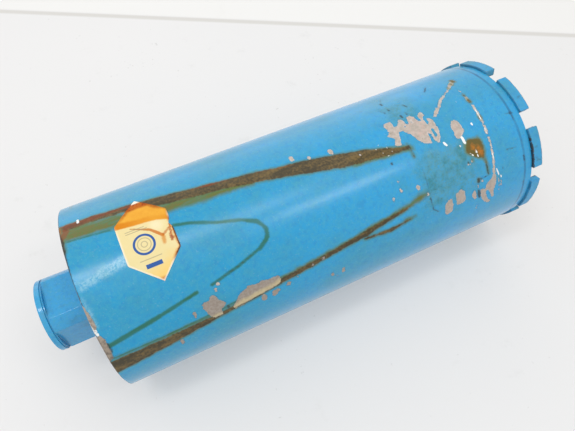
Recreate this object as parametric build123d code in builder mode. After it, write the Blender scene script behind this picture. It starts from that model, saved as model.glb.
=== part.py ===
"""Diamond core bit, 110 mm: a thin steel barrel with a crown of brazed diamond segments.

The bit stands on its crown. The axis is Z, the cutting faces lie at z = 0 and the threaded
coupling is on top. The label faces the front, -Y. All sizes are in millimetres and degrees.
"""

import os
from math import degrees, sin

from build123d import *

# Crown: the segments cut the hole, so the bit is named by their outer diameter.
CUTTING_DIAMETER = 110.0
SEGMENT_COUNT = 10
SEGMENT_LENGTH = 25.2  # along the outer arc
SEGMENT_THICKNESS = 4.5
SEGMENT_HEIGHT = 6.7  # what wear has left of the diamond layer
SEGMENT_RELIEF = 1.35  # how far a segment stands proud of the barrel
SEGMENT_CORNER_BREAK = 0.4  # chamfer on the upright corners
SEGMENT_WORN_BREAK = 0.5  # chamfer that wear has left on the cutting edges
CROWN_TURN = 16.5  # angle of the first segment's even place from +X
BRAZING_DRIFT = (0.4, -0.3, 0.3, -0.5, -1.2, -1.8, -1.2, 0.8, 1.0, 0.8)  # each segment, off its even place

# Barrel
TUBE_LENGTH = 264.3
TUBE_WALL = 2.5
CROWN_BAND_HEIGHT = 5.3  # turned band beside the segments
CROWN_BAND_DEPTH = 0.2
RIM_BEVEL = 0.5

# Back plate, set into the barrel
PLATE_THICKNESS = 8.0
PLATE_SETBACK = 2.0  # from the barrel's back rim
PLATE_CLEARANCE = 0.05  # radial, between the plate and the barrel
PLATE_WELD_BEVEL = 1.5  # weld preparation on the plate's back edge
PLATE_EDGE_BREAK = 0.4  # chamfer on its inner edge
RIM_WELD_WIDTH = 3.6
RIM_WELD_HEIGHT = 1.4  # up the barrel's wall, from the plate's back face
RIM_WELD_BULGE = 0.35  # how far the bead's face rises beyond a flat one

# Coupling hub
BAR_DIAMETER = 42.0  # the round bar that the hub is turned from
COLLAR_THICKNESS = 2.9
COLLAR_BEVEL = 0.5
GROOVE_WIDTH = 0.8  # turned groove between the collar and the flats
GROOVE_DEPTH = 0.8
FLATS_APART = 35.0  # four milled wrench flats, each pair this far apart
FLAT_TURN = 10.0  # angle of one flat's middle from +X
HUB_STAND_OUT = 28.0  # from the barrel's back rim to the collar's outer face
SPIGOT_DIAMETER = 30.0
SPIGOT_CLEARANCE = 0.05  # radial, between the spigot and the back plate
HUB_WELD_LEG = 3.0
HUB_WELD_SLOPE = 38.0  # lean of the bead's face from the axis

# M27 x 3 thread in the hub, cut down to its minor diameter, and the water passage below it
THREAD_MAJOR_DIAMETER = 27.0
THREAD_PITCH = 3.0
THREAD_DEPTH = 27.0
THREAD_MINOR_RATIO = 1.0825  # minor diameter = major diameter - ratio * pitch
MOUTH_BEVEL_STEP = 0.4  # the mouth's bevel opens this far beyond the major radius
WATER_BORE_DIAMETER = 18.0

# Label: a hexagon longer round the barrel than along it
LABEL_THICKNESS = 0.25
LABEL_WIDTH = 27.0  # along the axis
LABEL_SPAN = 48.6  # round the barrel, point to point
LABEL_SIDE = 22.4  # round the barrel, along each straight side
LABEL_SETBACK = 39.5  # from the barrel's back rim to the label's middle
LABEL_TURN = -90.0  # angle of the label's middle from +X

# Sizes that follow
crown_radius = CUTTING_DIAMETER / 2
tube_radius = crown_radius - SEGMENT_RELIEF
bore_radius = tube_radius - TUBE_WALL
segment_inner_radius = crown_radius - SEGMENT_THICKNESS
segment_pitch = 360 / SEGMENT_COUNT
tube_foot = SEGMENT_HEIGHT
tube_top = tube_foot + TUBE_LENGTH
plate_top = tube_top - PLATE_SETBACK
plate_foot = plate_top - PLATE_THICKNESS
plate_radius = bore_radius - PLATE_CLEARANCE
spigot_radius = SPIGOT_DIAMETER / 2
bar_radius = BAR_DIAMETER / 2
groove_radius = bar_radius - GROOVE_DEPTH
collar_top = tube_top + HUB_STAND_OUT
collar_foot = collar_top - COLLAR_THICKNESS
groove_foot = collar_foot - GROOVE_WIDTH
flat_height = groove_foot - plate_top
thread_major_radius = THREAD_MAJOR_DIAMETER / 2
thread_minor_radius = (THREAD_MAJOR_DIAMETER - THREAD_MINOR_RATIO * THREAD_PITCH) / 2
label_height = tube_top - LABEL_SETBACK
mouth_bevel = thread_major_radius - thread_minor_radius + MOUTH_BEVEL_STEP

os.makedirs("parts", exist_ok=True)


def finish(piece, name):
    """Label a finished piece and write it to its own STEP file."""
    piece.part.label = name
    export_step(piece.part, f"parts/{name}.step")


def wrench_section():
    """The hub's four flats, with strips of the round bar left between them."""
    Circle(bar_radius)
    Rectangle(FLATS_APART, FLATS_APART, rotation=FLAT_TURN, mode=Mode.INTERSECT)


def outer_rims(piece):
    """The piece's widest circular edges, from the lowest to the highest."""
    return piece.edges().filter_by(GeomType.CIRCLE).group_by(SortBy.RADIUS)[-1].sort_by(Axis.Z)


def wrapped(length):
    """How far to the side a length reaches once it is laid round the barrel."""
    return tube_radius * sin(length / tube_radius)


# Barrel: one turned section, with the crown band, the bevelled rim and a straight bore.
band_radius = tube_radius - CROWN_BAND_DEPTH
band_top = tube_foot + CROWN_BAND_HEIGHT
with BuildPart() as barrel_tube:
    with BuildSketch(Plane.XZ):
        with BuildLine():
            Polyline(
                (bore_radius, tube_foot),
                (band_radius, tube_foot),
                (band_radius, band_top),
                (tube_radius, band_top + CROWN_BAND_DEPTH),
                (tube_radius, tube_top - RIM_BEVEL),
                (tube_radius - RIM_BEVEL, tube_top),
                (bore_radius, tube_top),
                close=True,
            )
        make_face()
    revolve(axis=Axis.Z)
finish(barrel_tube, "barrel_tube")

# Back plate: a disc that slides into the barrel, bored for the hub's spigot.
with BuildPart() as back_plate:
    with BuildSketch(Plane.XY.offset(plate_foot)):
        Circle(plate_radius)
        Circle(spigot_radius + SPIGOT_CLEARANCE, mode=Mode.SUBTRACT)
    extrude(amount=PLATE_THICKNESS)
    chamfer(outer_rims(back_plate)[-1], PLATE_WELD_BEVEL)
    chamfer(outer_rims(back_plate)[0], PLATE_EDGE_BREAK)
finish(back_plate, "back_plate")

# Coupling hub: round bar with four milled flats, a groove behind its collar, bored and chamfered.
with BuildPart() as coupling_hub:
    with BuildSketch(Plane.XY.offset(plate_foot)):
        Circle(spigot_radius)
    extrude(amount=PLATE_THICKNESS)
    with BuildSketch(Plane.XY.offset(plate_top)):
        wrench_section()
    extrude(amount=flat_height)
    with BuildSketch(Plane.XY.offset(groove_foot)):
        Circle(groove_radius)
    extrude(amount=GROOVE_WIDTH)
    with BuildSketch(Plane.XY.offset(collar_foot)):
        Circle(bar_radius)
    extrude(amount=COLLAR_THICKNESS)
    chamfer(outer_rims(coupling_hub)[-1], COLLAR_BEVEL)
    with Locations((0, 0, collar_top)):
        CounterBoreHole(WATER_BORE_DIAMETER / 2, thread_minor_radius, THREAD_DEPTH)
    mouth = coupling_hub.faces().sort_by(Axis.Z)[-1].edges().sort_by(SortBy.RADIUS)[0]
    chamfer(mouth, mouth_bevel)
finish(coupling_hub, "coupling_hub")

# Rim weld: fills the plate's bevel and the corner above it, with a bulging face.
weld_toe = (bore_radius - RIM_WELD_WIDTH, plate_top)
weld_crest = (bore_radius, plate_top + RIM_WELD_HEIGHT)
with BuildPart() as rim_weld:
    with BuildSketch(Plane.XZ):
        with BuildLine():
            SagittaArc(weld_toe, weld_crest, RIM_WELD_BULGE)
            Polyline(
                weld_crest,
                (bore_radius, plate_top - PLATE_WELD_BEVEL),
                (plate_radius, plate_top - PLATE_WELD_BEVEL),
                (plate_radius - PLATE_WELD_BEVEL, plate_top),
                weld_toe,
            )
        make_face()
    revolve(axis=Axis.Z)
finish(rim_weld, "rim_weld")

# Hub weld: a sloping bead that follows the foot of the flats round.
with BuildPart() as hub_weld:
    with BuildSketch(Plane.XY.offset(plate_top)):
        wrench_section()
        offset(amount=HUB_WELD_LEG, kind=Kind.ARC)
    extrude(amount=HUB_WELD_LEG, taper=HUB_WELD_SLOPE)
    with BuildSketch(Plane.XY.offset(plate_top)):
        wrench_section()
    extrude(amount=HUB_WELD_LEG, mode=Mode.SUBTRACT)
finish(hub_weld, "hub_weld")

# Crown: each segment is a block bent to the barrel's curve, thicker than the wall on both sides,
# so that the bit cuts itself clearance. The gaps between them are the water slots.
segment_half_angle = degrees(SEGMENT_LENGTH / crown_radius) / 2
for number in range(SEGMENT_COUNT):
    start = CROWN_TURN + number * segment_pitch + BRAZING_DRIFT[number] - segment_half_angle
    with BuildPart() as segment:
        with BuildSketch(Plane.XY):
            with BuildLine():
                outside = CenterArc((0, 0), crown_radius, start, 2 * segment_half_angle)
                inside = CenterArc((0, 0), segment_inner_radius, start, 2 * segment_half_angle)
                Line(outside @ 0, inside @ 0)
                Line(outside @ 1, inside @ 1)
            make_face()
        extrude(amount=SEGMENT_HEIGHT)
        chamfer(segment.edges().filter_by(Axis.Z), SEGMENT_CORNER_BREAK)
        chamfer(segment.faces().sort_by(Axis.Z)[0].edges(), SEGMENT_WORN_BREAK)
    finish(segment, f"segment_{number + 1:02}")

# Label: a hexagon cut from a thin shell on the barrel.
label_facing = Vector(1, 0, 0).rotate(Axis.Z, LABEL_TURN)
label_plane = Plane(origin=(0, 0, label_height), x_dir=Vector(0, 0, 1).cross(label_facing), z_dir=label_facing)
label_tip = wrapped(LABEL_SPAN / 2)
label_corner = wrapped(LABEL_SIDE / 2)
with BuildPart() as label:
    with BuildSketch(Plane.XY.offset(label_height - LABEL_WIDTH / 2)):
        Circle(tube_radius + LABEL_THICKNESS)
        Circle(tube_radius, mode=Mode.SUBTRACT)
    extrude(amount=LABEL_WIDTH)
    with BuildSketch(label_plane):
        with BuildLine():
            Polyline(
                (label_tip, 0),
                (label_corner, LABEL_WIDTH / 2),
                (-label_corner, LABEL_WIDTH / 2),
                (-label_tip, 0),
                (-label_corner, -LABEL_WIDTH / 2),
                (label_corner, -LABEL_WIDTH / 2),
                close=True,
            )
        make_face()
    extrude(amount=CUTTING_DIAMETER, mode=Mode.INTERSECT)
finish(label, "label")
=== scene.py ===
"""The looks of a worn diamond core bit: enamel, stains, chips, welds, thread, label and light.

The bit stands on its crown, as the frame has it. The camera and the floor are turned with it, so
that the picture shows the bit lying on its side. Sizes are in millimetres and degrees, and meshes
are scaled to metres as they are made.
"""

import logging
from collections.abc import Mapping, Sequence
from dataclasses import dataclass
from enum import Enum
from math import acos, cos, degrees, pi, radians, sin
from typing import Any

import bpy
import numpy as np
from mathutils import Matrix, Vector


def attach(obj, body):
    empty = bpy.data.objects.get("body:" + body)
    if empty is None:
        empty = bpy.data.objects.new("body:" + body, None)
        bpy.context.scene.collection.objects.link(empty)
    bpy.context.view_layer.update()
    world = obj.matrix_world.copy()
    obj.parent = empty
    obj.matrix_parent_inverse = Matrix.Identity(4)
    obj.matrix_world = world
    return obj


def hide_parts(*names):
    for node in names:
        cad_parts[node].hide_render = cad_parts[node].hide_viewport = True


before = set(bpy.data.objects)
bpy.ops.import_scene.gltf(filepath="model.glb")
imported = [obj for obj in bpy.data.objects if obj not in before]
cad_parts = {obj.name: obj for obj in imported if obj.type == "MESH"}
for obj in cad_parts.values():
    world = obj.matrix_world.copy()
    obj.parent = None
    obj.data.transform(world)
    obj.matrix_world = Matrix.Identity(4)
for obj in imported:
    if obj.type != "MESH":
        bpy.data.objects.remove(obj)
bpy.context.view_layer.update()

MM = 0.001
BODY = "root"
log = logging.getLogger("core_bit")

# Sizes that several pieces share
CROWN_RADIUS = 55.0
TUBE_RADIUS = 53.65
BORE_RADIUS = 51.15
TUBE_FOOT = 6.7
TUBE_TOP = 271.0
PLATE_TOP = 269.0
SEGMENT_SIZE = (25.2, 4.5, 6.7)  # round the crown, through the wall, along the axis
LABEL_TURN = -90.0
WORN_SIDE_TURN = -110.0  # the middle of the barrel's worn side, from which marks are measured
DEGREE = TUBE_RADIUS * pi / 180  # millimetres round the barrel in one degree
MARK_REACH = 14.0  # how far from a mark its distance is still told apart
BORE_RUN = 400.0  # the run along the skin that stands for the bore, where no mark is

Colour = tuple[float, float, float, float]
Point = tuple[float, float]
Numbers = float | np.ndarray  # one number, or one for each point of a ring
Socket = bpy.types.NodeSocket


def tint(red: int, green: int, blue: int) -> Colour:
    """A display colour, 0 to 255, as the linear colour that a shader takes.

    Args:
        red: red part of the display colour.
        green: green part of the display colour.
        blue: blue part of the display colour.

    Returns:
        The linear colour, with full alpha.
    """
    def linear(part: int) -> float:
        """One display channel made linear."""
        value = part / 255
        return value / 12.92 if value <= 0.04045 else ((value + 0.055) / 1.055) ** 2.4

    return linear(red), linear(green), linear(blue), 1.0


def turned(radius: float, turn: float, height: float) -> Vector:
    """A point given by its distance from the axis, its angle from +X and its height."""
    return Vector((radius * cos(radians(turn)), radius * sin(radians(turn)), height))


# ---------------------------------------------------------------------------------------------
# Node trees written as Python


class Wire:
    """A number on its way between nodes, which adds Math nodes when it meets arithmetic."""

    def __init__(self, board: "Board", socket: Socket) -> None:
        """Hold a socket and the board that it belongs to."""
        self.board = board
        self.socket = socket

    def _maths(self, operation: str, *values: "Wire | float") -> "Wire":
        """Add one Math node and return its result."""
        node = self.board.node("ShaderNodeMath", dict(enumerate(values)), operation=operation)
        return Wire(self.board, node.outputs[0])

    def __add__(self, other: "Wire | float") -> "Wire":
        """This wire plus another value."""
        return self._maths("ADD", self, other)

    def __mul__(self, other: "Wire | float") -> "Wire":
        """This wire times another value."""
        return self._maths("MULTIPLY", self, other)

    __radd__ = __add__
    __rmul__ = __mul__

    def __sub__(self, other: "Wire | float") -> "Wire":
        """This wire less another value."""
        return self._maths("SUBTRACT", self, other)

    def __rsub__(self, other: float) -> "Wire":
        """A number less this wire."""
        return self._maths("SUBTRACT", other, self)

    def __truediv__(self, other: "Wire | float") -> "Wire":
        """This wire divided by another value."""
        return self._maths("DIVIDE", self, other)

    def __neg__(self) -> "Wire":
        """This wire with its sign changed."""
        return self * -1.0

    def __abs__(self) -> "Wire":
        """This wire without its sign."""
        return self._maths("ABSOLUTE", self)

    def at_least(self, other: "Wire | float") -> "Wire":
        """The larger of this wire and another value."""
        return self._maths("MAXIMUM", self, other)

    def at_most(self, other: "Wire | float") -> "Wire":
        """The smaller of this wire and another value."""
        return self._maths("MINIMUM", self, other)

    def root(self) -> "Wire":
        """The square root of this wire."""
        return self._maths("SQRT", self)

    def sine(self) -> "Wire":
        """The sine of this wire, in radians."""
        return self._maths("SINE", self)

    def cosine(self) -> "Wire":
        """The cosine of this wire, in radians."""
        return self._maths("COSINE", self)

    def fraction(self) -> "Wire":
        """The part of this wire after the point."""
        return self._maths("FRACT", self)

    def rise(self, low: float, high: float) -> "Wire":
        """A smooth step from 0 at the low value to 1 at the high one."""
        sockets = {0: self, 1: low, 2: high}
        node = self.board.node("ShaderNodeMapRange", sockets, interpolation_type="SMOOTHSTEP")
        return Wire(self.board, node.outputs[0])

    def fall(self, low: float, high: float) -> "Wire":
        """A smooth step from 1 at the low value to 0 at the high one."""
        return 1.0 - self.rise(low, high)


def length(*sides: Wire) -> Wire:
    """The length of the vector that has these sides."""
    return sum((side * side for side in sides[1:]), sides[0] * sides[0]).root()


class Board:
    """A node tree that is filled by short calls instead of by hand."""

    def __init__(self, tree: bpy.types.NodeTree) -> None:
        """Take an empty tree to fill."""
        self.tree = tree

    def node(self, kind: str, sockets: Mapping[Any, Any] | None = None, **settings: Any) -> bpy.types.Node:
        """Add any node.

        Args:
            kind: the node's type name.
            sockets: values, wires or sockets for its inputs, by name or index.
            settings: the node's own settings.

        Returns:
            The node that was added.
        """
        made = self.tree.nodes.new(kind)
        for name, value in settings.items():
            setattr(made, name, value)
        for key, value in (sockets or {}).items():
            if isinstance(value, Wire):
                value = value.socket
            if isinstance(value, Socket):
                self.tree.links.new(value, made.inputs[key])
            else:
                made.inputs[key].default_value = value
        return made

    def wire(self, node: bpy.types.Node, output: str | int = 0) -> Wire:
        """One output of a node as a wire."""
        return Wire(self, node.outputs[output])

    def parts(self, vector: Socket) -> tuple[Wire, Wire, Wire]:
        """The three coordinates of a vector."""
        node = self.node("ShaderNodeSeparateXYZ", {0: vector})
        return self.wire(node, 0), self.wire(node, 1), self.wire(node, 2)

    def vector(self, x: Wire | float, y: Wire | float, z: Wire | float) -> Socket:
        """A vector made of three coordinates."""
        return self.node("ShaderNodeCombineXYZ", {0: x, 1: y, 2: z}).outputs[0]


class Paintwork(Board):
    """The node tree of one material, with the few nodes that every finish here needs."""

    def __init__(self, name: str) -> None:
        """Start an empty material of that name."""
        self.material = bpy.data.materials.new(name)
        self.material.use_nodes = True
        super().__init__(self.material.node_tree)
        self.tree.nodes.clear()
        self.place = self.node("ShaderNodeTexCoord").outputs["Object"]

    def noise(self, size: float, detail: float = 2.0, roughness: float = 0.5, offset: float = 0.0,
              stretch: Sequence[float] = (1, 1, 1)) -> Wire:
        """Cloudy noise from 0 to 1.

        Args:
            size: how wide one cloud is, in millimetres.
            detail: how many finer layers it has.
            roughness: how strong the finer layers are.
            offset: where in the noise this one starts.
            stretch: how much longer a cloud is along each axis.

        Returns:
            The noise's value.
        """
        scale = [1 / (size * MM * part) for part in stretch]
        mapped = self.node("ShaderNodeMapping", {0: self.place, 1: (offset, offset, offset), 3: scale})
        sockets = {"Vector": mapped.outputs[0], "Scale": 1.0, "Detail": detail, "Roughness": roughness}
        return self.wire(self.node("ShaderNodeTexNoise", sockets), 0)

    def ragged(self, size: float, detail: float = 2.0, roughness: float = 0.5, offset: float = 0.0) -> Wire:
        """Cloudy noise from -0.5 to 0.5, which makes an edge ragged; it takes what noise takes."""
        return self.noise(size, detail, roughness, offset) - 0.5

    def attribute(self, name: str) -> Wire:
        """A number that the mesh carries at each point."""
        return self.wire(self.node("ShaderNodeAttribute", attribute_name=name), "Fac")

    def mix(self, share: Wire | float, first: Any, second: Any) -> Socket:
        """One colour going over to another.

        Args:
            share: 0 for the first colour, 1 for the second.
            first: colour or colour socket.
            second: colour or colour socket.

        Returns:
            The mixed colour's socket.
        """
        return self.node("ShaderNodeMix", {0: share, 6: first, 7: second}, data_type="RGBA").outputs[2]

    def coats(self, colour: Any, *layers: tuple[Wire | float, Any]) -> Socket:
        """Lay colours one over another.

        Args:
            colour: the lowest colour.
            layers: the share of each layer, from 0 to 1, and its colour.

        Returns:
            The finished colour's socket.
        """
        for share, tone in layers:
            colour = self.mix(share, colour, tone)
        return colour

    def bump(self, height: Wire, depth: float, below: Socket | None = None) -> Socket:
        """Relief seen by the light only.

        Args:
            height: relief from 0 to 1.
            depth: how deep it is, in millimetres.
            below: the normal of a relief that this one lies on.

        Returns:
            The new normal's socket.
        """
        sockets = {"Height": height, "Distance": depth * MM}
        if below is not None:
            sockets["Normal"] = below
        return self.node("ShaderNodeBump", sockets).outputs[0]

    def finish(self, **sockets: Any) -> bpy.types.Material:
        """Close the tree with one principled surface.

        Args:
            sockets: its inputs, with spaces in their names written as underscores.

        Returns:
            The material.
        """
        named = {name.replace("_", " "): value for name, value in sockets.items()}
        surface = self.node("ShaderNodeBsdfPrincipled", named)
        self.node("ShaderNodeOutputMaterial", {"Surface": surface.outputs[0]})
        return self.material


# ---------------------------------------------------------------------------------------------
# Marks on the barrel. A place is (along, around): millimetres from the barrel's crown end, and
# degrees round it from the middle of the worn side. A distance is below 0 inside the mark.


def off_line(along: np.ndarray, around: np.ndarray, start: Point, end: Point) -> np.ndarray:
    """Distance of each place from a straight line on the barrel.

    Args:
        along: millimetres from the crown end.
        around: degrees round the barrel.
        start: where the line starts.
        end: where it ends.

    Returns:
        The distances in millimetres.
    """
    run, rise = end[0] - start[0], (end[1] - start[1]) * DEGREE
    x, y = along - start[0], (around - start[1]) * DEGREE
    share = np.clip((x * run + y * rise) / max(run * run + rise * rise, 1e-9), 0, 1)
    return np.hypot(x - share * run, y - share * rise)


@dataclass(frozen=True)
class Run:
    """A run of stain along the barrel, held between two edges."""

    stations: tuple[tuple[float, float, float], ...]  # along, upper edge, lower edge

    def distance(self, along: np.ndarray, around: np.ndarray) -> np.ndarray:
        """Distance of each place from the run's edge, in millimetres."""
        places, upper, lower = np.array(sorted(self.stations)).T
        above = around - np.interp(along, places, upper)
        below = np.interp(along, places, lower) - around
        beyond = np.maximum(places[0] - along, along - places[-1])
        return np.maximum(np.maximum(above, below) * DEGREE, beyond)


@dataclass(frozen=True)
class Stroke:
    """A line of stain or wear through some points, of one width."""

    points: tuple[Point, ...]
    width: float

    def distance(self, along: np.ndarray, around: np.ndarray) -> np.ndarray:
        """Distance of each place from the line's edge, in millimetres."""
        gaps = [off_line(along, around, start, end) for start, end in zip(self.points, self.points[1:])]
        return np.min(gaps, axis=0) - self.width / 2


@dataclass(frozen=True)
class Patch:
    """A patch with an outline of straight edges, which the shader then roughens."""

    outline: tuple[Point, ...]
    islands: tuple["Mark", ...] = ()  # what is left standing inside it

    def distance(self, along: np.ndarray, around: np.ndarray) -> np.ndarray:
        """Distance of each place from the patch's edge, in millimetres."""
        sides = list(zip(self.outline, self.outline[1:] + self.outline[:1]))
        nearest = np.min([off_line(along, around, start, end) for start, end in sides], axis=0)
        inside = np.zeros(along.shape, bool)
        for (start, low), (end, high) in sides:
            crosses = (low > around) != (high > around)
            inside ^= crosses & (along < start + (around - low) * (end - start) / (high - low or 1e-9))
        gap = np.where(inside, -nearest, nearest)
        for island in self.islands:
            gap = np.maximum(gap, -island.distance(along, around))
        return gap


@dataclass(frozen=True)
class Dot:
    """A small round or oval chip."""

    along: float
    around: float
    radius: float
    length: float = 0.0  # how much longer it is round the barrel than along it

    def distance(self, along: np.ndarray, around: np.ndarray) -> np.ndarray:
        """Distance of each place from the chip's edge, in millimetres."""
        side = np.maximum(np.abs(around - self.around) * DEGREE - self.length / 2, 0)
        return np.hypot(along - self.along, side) - self.radius


Mark = Run | Stroke | Patch | Dot


class Layer(Enum):
    """The kinds of mark on the barrel, each kept as one distance on its mesh."""

    BROWN = "brown_stain"
    GREEN = "green_stain"
    MURK = "murk"
    BARE = "bare_primer"
    WHITE_AND_GLINT = "white_scrape_and_glint"
    RUST = "orange_rust"
    DARK = "dark_dirt"
    TIDE = "tide_line"
    RED = "red_stain"
    SCUFF_AND_HIGHLIGHT = "scuffed_and_highlight"


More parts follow.
